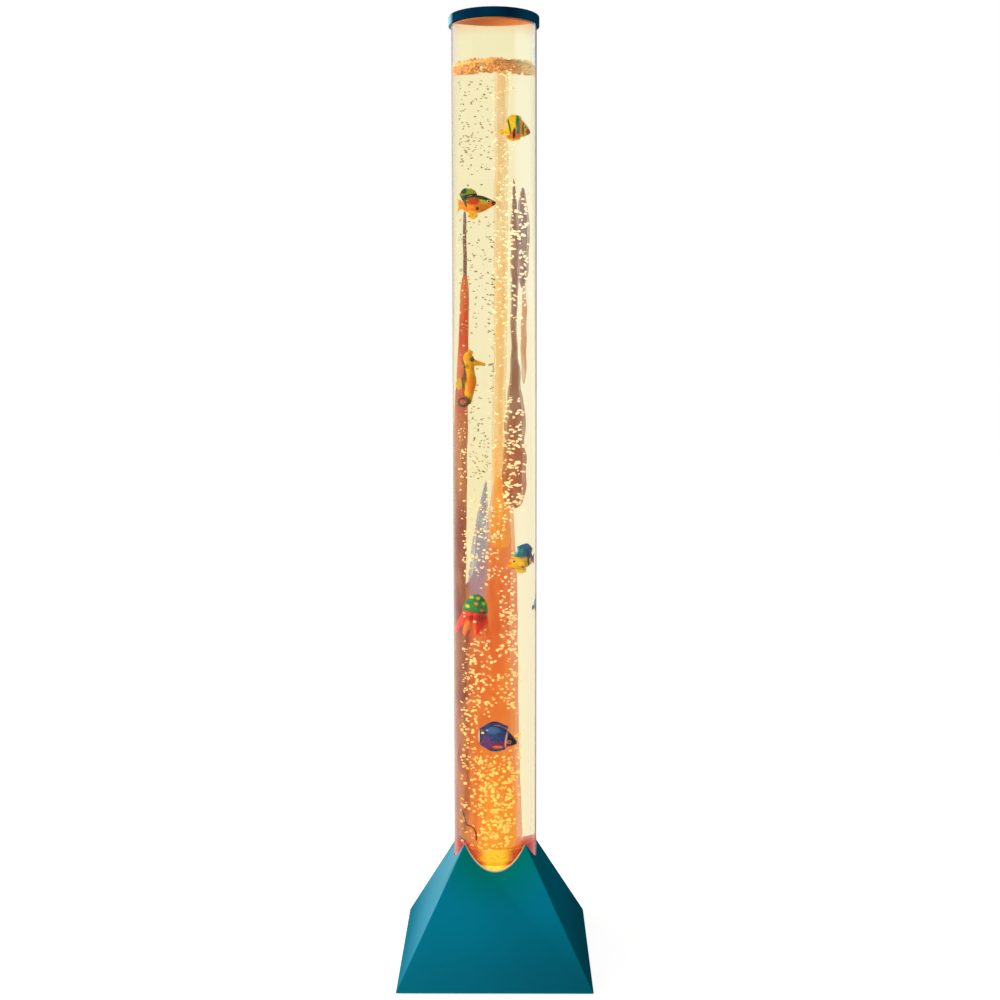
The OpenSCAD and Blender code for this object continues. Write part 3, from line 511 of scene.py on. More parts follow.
tube = {
    "radius": 40 * mm,
    "wall": 3 * mm,
    "lowZ": 80.9 * mm,
    "highZ": 896 * mm,
    "rimRound": 0.35 * mm,
    "outerTint": (0.985, 0.98, 0.96, 1),
    "innerTint": (0.9, 0.82, 0.45, 1),
    "stripTint": (0.99, 0.985, 0.8, 1),  # where more light comes through, at the right
    "stripFrom": (17 * mm, 22 * mm),
    "frontDepth": (-2 * mm, 2 * mm),
    "sideFrom": (17 * mm, 26 * mm),
    "farFrom": (26 * mm, 33 * mm),
    "rimFacing": (0.72, 0.84, 0.0, 0.75),
    "roughness": (0.0, 0.03),
    # painted reflection of the dim room: a dark line at the sides
    "dimRoomEdgeTint": (0.4, 0.3, 0.2, 1),
    "glowTint": (0.76, 0.07, 0.006, 1),  # beside the lit plug
    "glowEdge": (0.75, 0.13, 0.03, 1),
    "glowZ": (117.4 * mm, 118.6 * mm),
    "linerReflectionTint": (0.86, 0.5, 0.24, 1),  # painted reflection of the liner's colour, in the wall under it
    "topZ": (873 * mm, 889 * mm),
}

water = {
    "radius": 37.05 * mm,
    "lowZ": 100.95 * mm,
    "highZ": 852.9 * mm,
    # warmer low down: painted light of the LEDs in the water
    "tints": ((0.99, 0.93, 0.86, 1), (1.0, 0.965, 0.915, 1), (1.0, 0.985, 0.98, 1)),
    "tintZ": (0.15, 0.42, 0.62),
    "climb": ((1.2 * mm, 0.35 * mm), (1.6 * mm, 0.15 * mm)),  # it climbs a little at the wall
    "widens": (1.33, 12.9),  # how much wider a thing in it looks at the axis, and for each metre further back
}


def addCylinder(name, radius, low, high, vertices=192, fill="NGON"):
    deselectAll()
    bpy.ops.mesh.primitive_cylinder_add(vertices=vertices, radius=radius, depth=high - low,
                                        end_fill_type=fill, location=(0, 0, (low + high) / 2))
    piece = bpy.context.object
    piece.name = piece.data.name = name
    applyTransforms()
    return piece


def pressTop(piece, steps):
    # inset the top face step by step, each with how far in and how far down
    editMode("DESELECT")
    bpy.ops.mesh.select_mode(type="FACE")
    objectMode()
    for face in piece.data.polygons:
        face.select = face.normal.z > 0.9
    bpy.ops.object.mode_set(mode="EDIT")
    for across, down in steps:
        bpy.ops.mesh.inset(thickness=across)
        bpy.ops.transform.translate(value=(0, 0, -down))
    objectMode()


def tubeTint(sheet):
    # warm on the inside, more so low down and under the liner, where the liner's colour is a painted reflection;
    # and a painted dark line at the sides, where the dim room is reflected
    place, apart = sheet.place()
    x, y, z = apart
    cloud = sheet.noise(place, 9, 3)
    middle = tube["radius"] - tube["wall"] / 2
    inside = sheet.span(sheet.away(apart), middle - 0.1 * tube["wall"], middle + 0.1 * tube["wall"], 1.0, 0.0)
    front = sheet.span(y, *tube["frontDepth"], 1.0, 0.0)
    low = sheet.span(z, *tube["glowZ"], 1.0, 0.0)
    side = sheet.span(sheet.size(x), *tube["sideFrom"])
    far = sheet.span(sheet.size(x), *tube["farFrom"])
    warm = sheet.mix(sheet.times(cloud, 0.3), tube["innerTint"], tube["outerTint"])
    for share, tint in (
            (sheet.times(sheet.span(x, *tube["stripFrom"]), front), "stripTint"),
            (sheet.times(side, low), "glowTint"),
            (sheet.times(sheet.span(z, *tube["topZ"], smooth=True), front), "linerReflectionTint")):
        warm = sheet.mix(share, warm, tube[tint])
    tint = sheet.mix(sheet.times(far, low), sheet.mix(inside, tube["outerTint"], warm), tube["glowTint"])
    rim = sheet.span(sheet.facing(), *tube["rimFacing"], smooth=True)
    rim = sheet.times(rim, sheet.math("SUBTRACT", 1, inside))
    # painted dark line at the sides, the dim room reflected there; red beside the lit plug
    line = sheet.add("BsdfDiffuse", {"Color": sheet.mix(low, tube["dimRoomEdgeTint"], tube["glowEdge"])}).outputs[0]
    return tint, rim, line, sheet.span(cloud, 0.3, 0.7, *tube["roughness"])


def makeTube():
    piece = addCylinder("clearTube", tube["radius"], tube["lowZ"], tube["highZ"], fill="NOTHING")
    applyModifier(piece, "SOLIDIFY", "wall", thickness=tube["wall"], offset=-1)
    applyModifier(piece, "BEVEL", "rims", width=tube["rimRound"], segments=3, limit_method="ANGLE",
                  angle_limit=math.radians(60))
    smoothBy(35)
    mat, sheet = newSheet("clearAcrylic")
    tint, rim, line, rough = tubeTint(sheet)
    clear = glassSkin(sheet, tint, glass["acrylicIor"], rough)
    letLampsThrough(sheet, sheet.add("MixShader", {0: rim, 1: clear, 2: line}).outputs[0], tint)
    register(piece, mat, node="tube")


def makeWater():
    piece = addCylinder("tubeWater", water["radius"], water["lowZ"], water["highZ"])
    pressTop(piece, water["climb"])
    smoothBy(40)
    mat, sheet = newSheet("lampWater")
    tint = tintByHeight(sheet, water["tints"], water["tintZ"])
    letLampsThrough(sheet, glassSkin(sheet, tint, glass["waterIor"]), tint)
    register(piece, mat)


makeTube()
makeWater()
print("tube and water made")


lane = {
    "gap": 0.8 * mm,
    "beside": 2 * mm,
    "above": 14 * mm,
}


def fishLanes():
    # the boxes that the fish sweep, which bubbles stay out of
    lanes = []
    bodies = frame["record"]["behaviour"]["bodies"]
    for joint in frame["joints"]:
        node = (bodies.get(joint["child"]) or [""])[0]
        if node.startswith("fish_"):
            low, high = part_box(node)
            down, up = joint["range_m"]
            gap = lane["gap"]
            lanes.append((low.x - gap, high.x + gap, low.y - gap, high.y + gap,
                          low.z + down - gap, high.z + up + gap))
    return lanes


lanes = fishLanes()


def clearOfFish(x, y, z, r):
    return not any(
        left - r < x < right + r and front - r < y < back + r and low - r < z < high + r
        for left, right, front, back, low, high in lanes)


restBoxes = [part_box("fish_" + str(k)) for k in range(1, 8)]


def hidesFish(x, y, z):
    # in front of a fish as it hangs at rest
    beside, above = lane["beside"], lane["above"]
    return any(low.x - beside < x < high.x + beside and y < low.y and low.z < z < high.z + above
               for low, high in restBoxes)


bubbles = {
    "seed": 11,
    "reach": 34.6 * mm,
    # groups: count, z, x as it looks through the water, y and half width, each from and to, and how tall
    "low": [
        (250, (106, 200), (-15, 14), (-30, 10), (0.8, 1.7), (0.6, 1.3)),
        (330, (112, 345), (-34, 19), (-33, 4), (0.75, 1.6), (0.5, 1.2)),
        (70, (150, 345), (12, 24), (-24, 8), (0.9, 1.7), (0.4, 0.9)),
        (70, (190, 345), (-35, -10), (-28, 4), (0.8, 1.7), (0.4, 0.9)),
        (110, (170, 345), (-22, 19), (-30, 4), (0.8, 1.8), (0.4, 0.9))],
    "middle": [
        (120, (330, 450), (-33, 19), (-33, 4), (0.7, 1.5), (0.5, 1.1)),
        (85, (436, 545), (8, 29), (-26, 10), (0.9, 2.1), (0.45, 0.8)),
        (90, (440, 600), (-8, 16), (-30, 8), (0.6, 1.3), (0.5, 1)),
        (30, (470, 600), (-36, -27), (-26, 4), (0.5, 1), (0.5, 1)),
        (24, (446, 540), (10, 29), (-18, 8), (1.8, 3.4), (0.35, 0.5)),
        (60, (335, 500), (-35, -15), (-24, 4), (0.8, 1.8), (0.4, 0.9)),
        (80, (330, 450), (-14, 19), (-30, 4), (0.8, 1.6), (0.4, 0.9))],
    "high": [
        (110, (600, 744), (11, 33), (-24, 8), (0.7, 1.8), (0.5, 0.9)),
        (210, (600, 846), (-1, 17), (-30, 8), (0.6, 1.5), (0.5, 0.9)),
        (14, (600, 700), (-36, -27), (-24, 4), (0.5, 1), (0.5, 1)),
        (16, (655, 735), (14, 32), (-18, 8), (1.6, 2.6), (0.4, 0.7))],
    "dash": [
        (320, (540, 838), (-34, 0), (-30, 6), (0.7, 1.5), (0.4, 0.7)),
        (90, (470, 560), (-24, -5), (-30, 6), (0.7, 1.3), (0.4, 0.7))],
    # warmer low down, and glowing: painted light of the LEDs on the bubbles
    "tints": ((255, 222, 138), (255, 230, 200), (255, 246, 226)),
    "tintZ": (0.17, 0.36, 0.62),
    "darkColour": (214, 140, 60),
    "dashColours": ((160, 146, 108), (208, 196, 152)),
    "glow": 0.42, "dashGlow": 0.12,
    "flatUnder": 0.72,
    "flatBehind": 0.85,
    "leans": (0.45, 0.5),  # tilt and turn
    "aimTries": 40,
    "keepOffFish": 0.93,  # share of the bubbles before a fish that is left out
}


def perIsland(sheet):
    return sheet.add("NewGeometry").outputs["Random Per Island"]


def bubbleFinish():
    mat, sheet = newSheet("bubbleSkin")
    tint = tintByHeight(sheet, [linear(*colour) for colour in bubbles["tints"]], bubbles["tintZ"])
    tone = sheet.mix(sheet.span(perIsland(sheet), 0.5, 1.0, 0.0, 0.35), tint, linear(*bubbles["darkColour"]))
    clear = {"Roughness": 0.12, "Transmission Weight": 0.25, "IOR": 1.25}
    sheet.out(sheet.skin(tone, clear, bubbles["glow"]))
    return mat


def dashFinish():
    # tiny bubbles high up, seen against the light, look like short grey-brown strokes
    mat, sheet = newSheet("dashSkin")
    tone = sheet.mix(perIsland(sheet), *[linear(*colour) for colour in bubbles["dashColours"]])
    sheet.out(sheet.skin(tone, {"Roughness": 0.5}, bubbles["dashGlow"]))
    return mat


def scatter(name, spots, mat):
    # spots: place, half width, half height, tilt, turn
    deselectAll()
    bpy.ops.mesh.primitive_ico_sphere_add(subdivisions=2, radius=1, location=(0, 0, 0))
    first = bpy.context.object
    editMode()
    bpy.ops.mesh.faces_shade_smooth()
    objectMode()
    for vertex in first.data.vertices:
        if vertex.co.z < 0:
            vertex.co.z *= bubbles["flatUnder"]  # a rising bubble is flatter underneath
    copies = [first] + [copyPiece(first) for _ in spots[1:]]
    for piece, (place, wide, tall, tilt, turn) in zip(copies, spots):
        size = Matrix.Diagonal((wide, wide * bubbles["flatBehind"], tall, 1))
        piece.matrix_world = (Matrix.Translation(place) @ Matrix.Rotation(turn, 4, "Z")
                              @ Matrix.Rotation(tilt, 4, "Y") @ size)
    joinPieces(copies, name)
    applyTransforms()
    register(first, mat)


def waterWidens(y):
    # how much wider the water makes a thing look from the front, the more so the deeper it is
    atAxis, perMetre = water["widens"]
    return atAxis + perMetre * y


def bubbleSpots(part, chance):
    spots = []
    for count, heights, across, deep, sizes, talls in bubbles[part]:
        made = 0
        while made < count:
            z, seen, wide = (chance.uniform(*ends) * mm for ends in (heights, across, sizes))
            for attempt in range(bubbles["aimTries"]):
                y = chance.uniform(*deep) * mm
                x = seen / waterWidens(y)
                if math.hypot(x, y) < bubbles["reach"] - wide and clearOfFish(x, y, z, wide):
                    break
            else:
                continue
            if hidesFish(x, y, z) and chance.random() < bubbles["keepOffFish"]:
                continue
            tall = wide * chance.uniform(*talls)
            spots.append(((x, y, z), wide, tall, *[chance.gauss(0, lean) for lean in bubbles["leans"]]))
            made += 1
    return spots


def makeBubbles():
    chance = random.Random(bubbles["seed"])
    mat = bubbleFinish()
    for part in ("low", "middle", "high"):
        scatter(part + "Bubbles", bubbleSpots(part, chance), mat)
    scatter("dashBubbles", bubbleSpots("dash", chance), dashFinish())


makeBubbles()
print("bubbles made")


def alongCurve(points, u):
    # smooth curve through the points, u from 0 to 1
    count = len(points) - 1
    at = min(max(u, 0), 1) * count
    i = min(int(at), count - 1)
    t = at - i
    p = [points[min(max(i + k, 0), count)] for k in (-1, 0, 1, 2)]
    return tuple(
        0.5 * (2 * b + (c - a) * t + (2 * a - 5 * b + 4 * c - d) * t * t + (3 * b - a - 3 * c + d) * t ** 3)
        for a, b, c, d in zip(*p))


def sweep(name, points, radius, corners=2):
    curve = bpy.data.curves.new(name, "CURVE")
    curve.dimensions = "3D"
    line = curve.splines.new("POLY")
    line.points.add(len(points) - 1)
    for point, place in zip(line.points, points):
        point.co = (*place, 1)
    curve.bevel_depth = radius
    curve.bevel_resolution = corners
    curve.use_fill_caps = True
    piece = bpy.data.objects.new(name, curve)
    bpy.context.scene.collection.objects.link(piece)
    selectOnly(piece)
    bpy.ops.object.convert(target="MESH")
    piece = bpy.context.object
    applyTransforms(piece, Matrix.Diagonal((mm, mm, mm, 1)))
    editMode()
    bpy.ops.mesh.remove_doubles(threshold=0.00001)
    normalsOut()
    smoothBy(50)
    return piece


def loft(rings, vertices=16):
    # rings: station, middle, half height, half thickness and side shift, in mm; it runs along X
    rings = [tuple(ring) + (0,) * (5 - len(ring)) for ring in rings]
    deselectAll()
    bpy.ops.mesh.primitive_circle_add(vertices=vertices, radius=1, fill_type="NGON", location=(0, 0, 0))
    piece = bpy.context.object
    editMode()
    last = rings[0]
    bpy.ops.transform.resize(value=(last[2], last[3], 1), center_override=(0, 0, 0))
    bpy.ops.transform.translate(value=(-last[1], last[4], last[0]))
    for ring in rings[1:]:
        bpy.ops.mesh.extrude_region_move(
            TRANSFORM_OT_translate={"value": (last[1] - ring[1], ring[4] - last[4], ring[0] - last[0])})
        bpy.ops.transform.resize(value=(ring[2] / last[2], ring[3] / last[3], 1),
                                 center_override=(-ring[1], ring[4], ring[0]))
        last = ring
    normalsOut()
    applyTransforms(piece, spin(90, "Y"))
    applyModifier(piece, "SUBSURF", "round", levels=2, render_levels=2)
    return piece


finWave = {
    "height": 0.35,  # of the rays, in mm
    "reach": 0.05,  # how much further out than the web they end
}


def makeFin(rays, root, tip, side=0, lean=0, thick=0.8):
    # a thin fin between its root line and its outer edge, with rays pressed in
    deselectAll()
    bpy.ops.mesh.primitive_grid_add(x_subdivisions=rays * 2, y_subdivisions=4, size=1, location=(0, 0, 0))
    piece = bpy.context.object
    for vertex in piece.data.vertices:
        u, v = vertex.co.x + 0.5, vertex.co.y + 0.5
        (x, z), (outX, outZ) = alongCurve(root, u), alongCurve(tip, u)
        wave = math.cos(2 * math.pi * rays * u)
        reach = v * (1 + finWave["reach"] * wave)
        y = finWave["height"] * wave * v * v + lean * v + side
        vertex.co = (x + (outX - x) * reach, y, z + (outZ - z) * reach)
    applyModifier(piece, "SOLIDIFY", "wall", thickness=thick, offset=0)
    editMode()
    normalsOut()
    applyModifier(piece, "SUBSURF", "round", levels=1, render_levels=1)
    return piece


pupil = {
    # shares of the eye's radius
    "radius": 0.62,
    "out": 0.34,
    "ahead": 0.12,
}


def makeEyes(plan, mats):
    # a pale bulge and a dark pupil on each side; x, z, half thickness of the body there, radius
    x, z, y, r = plan
    parts = []
    for side in (-1, 1):
        for k, (size, out) in enumerate(((r, 0), (r * pupil["radius"], r * pupil["out"]))):
            deselectAll()
            bpy.ops.mesh.primitive_uv_sphere_add(segments=20, ring_count=10, radius=size, location=(0, 0, 0))
            editMode()
            bpy.ops.transform.resize(value=(1, 0.5, 1), center_override=(0, 0, 0))
            bpy.ops.transform.translate(value=(x + k * r * pupil["ahead"], side * (y + out), z))
            bpy.ops.mesh.faces_shade_smooth()
            objectMode()
            dress(bpy.context.object, mats[k])
            parts.append(bpy.context.object)
    return parts


def makePatch():
    # soft-edged oval of paint, 1 inside it
    group, sheet, inn, out = newGroup("paintPatch", {
        "Place": (0, 0, 0), "Centre": (0, 0, 0), "Size": (1, 1, 1), "Turn": 0.0, "Soft": 0.2, "Wobble": 0.25,
    }, {"Mask": 0.0})

    def vector(kind, first, second=(0, 0, 0), output=0):
        return sheet.add("VectorMath", {0: first, 1: second}, operation=kind).outputs[output]

    away = vector("SUBTRACT", inn["Place"], inn["Centre"])
    turned = sheet.add("VectorRotate", {"Vector": away, "Angle": inn["Turn"]}, rotation_type="Y_AXIS")
    flat = vector("MULTIPLY", vector("DIVIDE", turned.outputs[0], inn["Size"]), (1, 0, 1))
    shake = sheet.times(sheet.math("SUBTRACT", sheet.noise(inn["Place"], 0.45), 0.5), inn["Wobble"])
    edge = sheet.math("ADD", vector("LENGTH", flat, output="Value"), shake)
    low, high = (sheet.math(kind, 1.0, inn["Soft"]) for kind in ("SUBTRACT", "ADD"))
    sheet.put(out["Mask"], sheet.span(edge, low, high, 1.0, 0.0, smooth=True))
    return group


paintPatch = makePatch()


def fishFinish(name, plan):
    mat, sheet = newSheet(name)
    place = sheet.add("Mapping", {  # to the fish's own middle, in mm
        "Vector": sheet.place()[0], "Location": [c * mm for c in plan["at"]],
        "Rotation": (0, 0, math.radians(plan["turn"])), "Scale": (mm, mm, mm)},
        vector_type="TEXTURE").outputs[0]
    cloud = sheet.noise(place, 0.3, 3)
    tone = sheet.mix(sheet.span(cloud, 0.4, 0.65), linear(*plan["colour"]), linear(*plan["second"]))
    for colour, x, z, wide, tall, *turn in plan["patches"]:
        patch = {"Place": place, "Centre": (x, 0, z), "Size": (wide, 1, tall),
                 "Turn": math.radians(sum(turn))}
        mask = sheet.add("Group", patch, node_tree=paintPatch).outputs["Mask"]
        tone = sheet.mix(mask, tone, linear(*colour))
    scales = sheet.cells(place, plan.get("scales", 0.8))
    sheet.out(sheet.skin(tone, {
        "Roughness": sheet.span(cloud, 0.3, 0.7, 0.28, 0.42),
        "Normal": sheet.bump(scales, 0.4, 0.0003, invert=True),
        "Specular IOR Level": 0.08, "Coat Weight": 0.04, "Coat Roughness": 0.12,
    }, 0.1))  # lit through the bright water as well
    return mat


eyeWhite = plasticFinish("eyeWhite", (236, 226, 200), (214, 200, 170), roughness=0.2, grain=1500)
eyeDark = plasticFinish("eyeDark", (16, 14, 18), (34, 26, 26), roughness=0.12, grain=1500)


def eyeFinish(name, plan):
    if "eyeRim" not in plan:
        return eyeWhite
    rim = {**plan, "colour": plan["eyeRim"], "second": plan["eyeRim"], "patches": []}
    return fishFinish(name + "EyeRim", rim)


def settle(parts, name, node, body, plan):
    # joins the parts of a fish, turns it and hangs it at its place
    piece = joinPieces(parts, name)
    applyTransforms(piece, Matrix.Translation([c * mm for c in plan["at"]]) @ spin(plan["turn"], "Z")
                    @ Matrix.Diagonal((mm, mm, mm, 1)))
    smoothBy(50)
    register(piece, None, body, node)


def makeFish(name, node, body, plan):
    mat = fishFinish(name + "Paint", plan)
    eye = eyeFinish(name, plan)
    parts = [loft(plan["body"])] + [makeFin(*fin) for fin in plan["fins"]]
    *cheek, side, lean = plan["cheekFin"]
    parts += [makeFin(*cheek, way * side, way * lean, 0.6) for way in (-1, 1)]
    for part in parts:
        dress(part, mat)
    parts += makeEyes(plan["eyes"], (eye, eyeDark))
    settle(parts, name, node, body, plan)


# of each fish: rings of its body, fins (rays, root line, outer line), the fin on each cheek with how far it
# stands off and leans, eyes, and patches of paint (colour, x, z, half width, half height, turn)
stripedFish = {
    "at": (15, 2, 793.4), "turn": 0,
    "body": [
        (-8.6, -3.6, 1.4, 0.9), (-7, -2.4, 3.6, 1.6), (-4, 0.2, 7.6, 3), (-0.5, 0.8, 9, 4),
        (3, 0.4, 8.8, 4.1), (6, -0.4, 7, 3.4), (8.4, -1.4, 4.4, 2.3), (10, -2.2, 2, 1.5),
        (10.8, -2.4, 1, 0.9)],
    "fins": [
        (4, [(-8, -2.4), (-8.4, -3.6), (-8, -4.8)], [(-11, -1.6), (-11.9, -3.9), (-11, -6.4)]),
        (7, [(-5.6, 3), (-2, 8), (4.4, 8)], [(-7.4, 6.8), (-3, 12), (3.4, 11.4)]),
        (6, [(-5.4, -4.6), (-1, -7.4), (4, -7)], [(-7.6, -8.4), (-3, -11.6), (2.6, -10.4)])],
    "cheekFin": (3, [(3.4, -1.6), (3.2, -3), (3.6, -4.4)], [(-0.6, -1), (-1.6, -3.6), (-0.2, -6)], 3.6, 1.6),
    "eyes": (7.3, 1.6, 2.5, 1.25),
    "colour": (240, 205, 30), "second": (226, 178, 20),
    "patches": [
        ((236, 120, 24), 0, -6.4, 6, 3.4), ((238, 208, 36), 6.6, -7.2, 3, 3),
        ((40, 126, 84), 1.9, 4.6, 1.5, 8.6, 6), ((84, 124, 138), 2.2, -1.4, 1.2, 4.4),
        ((240, 132, 24), 4.3, 1.6, 0.7, 6.4, 4), ((78, 42, 46), -0.8, -4.6, 1.1, 5, -8),
        ((46, 40, 40), 5.8, -0.6, 0.55, 6.2), ((196, 46, 30), 9.4, -2.6, 1.5, 3),
        ((74, 112, 60), -4.2, 1.6, 0.8, 6.6, 10)],
}

greenBackFish = {
    "at": (-13, 4, 724.3), "turn": 0,
    "body": [
        (-11.2, -0.6, 2, 1.2), (-9, -0.6, 4.4, 2.4), (-5, -0.4, 8, 4.2), (0, -0.5, 9, 5),
        (5, -0.2, 7.8, 4.5), (9, 0.1, 5, 3.3), (12, 0.4, 2.8, 2.1), (13.6, 0.5, 1.4, 1.2),
        (14.2, 0.5, 0.7, 0.7)],
    "fins": [
        (6, [(-10, 2.4), (-11, -0.6), (-10, -3.6)], [(-13.6, 6), (-12.8, -0.8), (-13.8, -8)]),
        (8, [(-9, 3.4), (-4, 7.4), (1.6, 7.6)], [(-11.6, 9.4), (-7.6, 14.8), (-0.4, 12.6)]),
        (4, [(-4.6, -7.4), (-1.6, -8.6), (1.2, -8.4)], [(-5.4, -11.6), (-2, -14.4), (1.6, -12)])],
    "cheekFin": (4, [(4, -0.8), (3.6, -2.4), (4.2, -4)], [(-1, 0.4), (-2.4, -2.8), (-0.6, -5.8)], 4.4, 1.8),
    "eyes": (9, 2.1, 2.9, 1.35),
    "colour": (240, 146, 20), "second": (226, 112, 14),
    "patches": [
        ((136, 146, 30), -6, 11, 6.4, 5.6), ((22, 66, 40), -1, 6.8, 10.5, 2.9, 8),
        ((24, 66, 44), -8.6, 12.6, 2.4, 3, 30), ((186, 66, 34), -2.2, 2.6, 4.6, 3.4),
        ((190, 188, 52), 6, 3, 3.2, 3.2), ((30, 80, 44), 5.6, 5.4, 6, 2, -16),
        ((238, 190, 60), -3, -8.8, 7, 2), ((126, 22, 20), 0.9, -4.4, 1.3, 1.5),
        ((110, 34, 20), 13.2, 0.4, 1.9, 3), ((240, 204, 40), -12.6, -1, 1.5, 8),
        ((240, 200, 60), -1.8, -13.4, 4, 2.2), ((70, 96, 40), -7.8, 2.4, 0.9, 5.4, 12)],
}

blueTopFish = {
    "at": (20.2, 0, 391.9), "turn": 180,
    "body": [
        (-9.2, -1.4, 2, 1.2), (-7.6, -1, 4.6, 2), (-4.6, 0.6, 8.8, 4), (-0.6, 0.6, 10.6, 5),
        (3.4, -1, 9.6, 4.6), (6.6, -3, 7, 3.6), (9, -4.6, 4.4, 2.6), (10.4, -5.2, 2.6, 1.7),
        (11, -5.4, 1.2, 0.9)],
    "fins": [
        (6, [(-8.2, 1), (-9, -1.2), (-8.2, -3.4)], [(-11, 4.6), (-10.2, -1.4), (-11, -7.4)]),
        (8, [(-7.4, 3.6), (-3, 9), (4, 7)], [(-8.6, 9), (-3.4, 14.4), (4.2, 11.6)]),
        (5, [(-2.6, -9), (0.4, -10), (4, -9.6)], [(-3, -12.6), (1, -14.4), (5.2, -12.6)])],
    "cheekFin": (4, [(2.8, -2.4), (2.4, -4.2), (3, -6)], [(-2, -1.6), (-3.4, -4.6), (-1.6, -7.6)], 4.6, 1.6),
    "eyes": (5.8, -2, 3.3, 1.5),
    "colour": (240, 196, 48), "second": (226, 166, 30),
    "patches": [
        ((30, 98, 168), -1, 9, 10, 7.8), ((54, 172, 206), 5.8, 7, 3, 5, 20),
        ((16, 52, 112), -6.4, 6, 2.6, 6), ((50, 150, 84), 0, 7.4, 1.6, 1.9), ((44, 128, 70), 2, 3, 4.4, 0.9),
        ((236, 126, 30), 6.6, 0.4, 1.8, 0.7), ((232, 104, 28), 10, -4, 2, 1.4),
        ((228, 96, 30), 8.6, -9.4, 2.6, 1.6), ((176, 96, 26), -0.9, -8.6, 0.8, 3.4),
        ((18, 52, 60), -5.4, -1.4, 0.8, 5.4), ((20, 30, 88), -4.6, -9.6, 1.9, 2),
        ((190, 30, 36), -4, -11.4, 1, 1), ((60, 30, 96), -9.4, 0.6, 1.8, 5),
        ((176, 40, 118), -9.8, -4.6, 1.8, 2.2), ((240, 206, 60), 1, -13, 5, 2.2)],
}

violetFish = {
    "at": (1.5, -3, 221.8), "turn": 0,
    "body": [
        (-11.2, -0.6, 2, 1.2), (-9.6, -0.4, 4.4, 2.1), (-6, 0.2, 8.8, 4), (-1, 0.2, 11.4, 5),
        (4.6, -0.8, 10.2, 4.8), (8.4, -2.8, 7.6, 3.8), (11.2, -4.6, 4.8, 2.7), (13.4, -6, 2.6, 1.7),
        (14.4, -6.6, 1.2, 0.9)],
    "fins": [
        (7, [(-9.6, 3), (-11, -0.6), (-9.6, -4)], [(-13.2, 7.6), (-13.8, -0.4), (-13, -8)]),
        (10, [(-9, 3.4), (-1, 11), (7.6, 6.6)], [(-13, 7.4), (-2.6, 14.6), (8, 9.6)]),
        (9, [(-9, -3.4), (-1, -10.4), (6.6, -9.4)], [(-12.6, -8.4), (-3.4, -14.6), (5.6, -13)])],
    "cheekFin": (4, [(3.4, -2), (3, -4), (3.6, -6)], [(-1.8, -1), (-3.2, -4.4), (-1.2, -8)], 4.8, 1.7),
    "eyes": (8.9, -5.2, 3.2, 1.7), "eyeRim": (232, 150, 160),
    "colour": (44, 70, 168), "second": (30, 52, 132),
    "patches": [
        ((126, 50, 140), -1, -8, 9.5, 3.6), ((96, 58, 150), -8, -4, 3, 5),
        ((236, 128, 34), 0.4, -10.2, 3.6, 1.6), ((236, 176, 176), 6.6, -3.2, 0.8, 7.6, -6),
        ((14, 12, 18), 10.6, -5, 3.4, 6.4), ((108, 24, 28), 9, -8.6, 1.4, 1.3),
        ((16, 14, 22), 14.4, -6.8, 1.6, 2), ((62, 104, 196), -3, 6, 5, 3.2),
        ((32, 44, 108), -2, 13.6, 7, 1.6), ((206, 214, 236), -13.6, 0, 0.8, 8)],
}

tealFish = {
    "at": (29.5, 9, 345.4), "turn": 107,
    "body": [
        (-8, -0.2, 1.4, 0.9), (-6, 0, 4, 1.6), (-2.4, 0, 7.4, 3), (1.8, 0, 8, 3.3), (5.2, -0.2, 6, 2.8),
        (8, -0.4, 3.4, 1.9), (9.8, -0.6, 1.7, 1.2), (10.5, -0.6, 0.8, 0.8)],
    "fins": [
        (5, [(-7.4, 1.2), (-8, 0), (-7.4, -1.4)], [(-10.4, 5.6), (-9.4, 0), (-10.4, -5.8)]),
        (6, [(-5, 4.2), (-1.6, 7), (3.6, 5.8)], [(-6, 8), (-2.6, 10.8), (2.6, 9)]),
        (5, [(-3.6, -5.6), (-0.6, -7), (3, -6.4)], [(-4, -9), (-0.6, -10.6), (3.4, -9)])],
    "cheekFin": (3, [(2.2, -0.8), (2, -2.2), (2.4, -3.6)], [(-1.6, 0), (-2.8, -2.4), (-1.2, -4.8)], 3, 1.2),
    "eyes": (6.2, 1.5, 2.2, 1.15),
    "colour": (24, 128, 168), "second": (20, 104, 140),
    "patches": [
        ((40, 160, 186), -1, 4, 6, 3.4), ((16, 58, 96), 3.4, 0, 0.8, 7), ((16, 58, 96), -4, 0, 0.8, 6),
        ((210, 210, 90), 8.4, -1, 2, 2.4), ((70, 180, 170), 0, -6.4, 6, 2),
        ((20, 70, 120), -9.4, 0, 1.4, 6)],
}

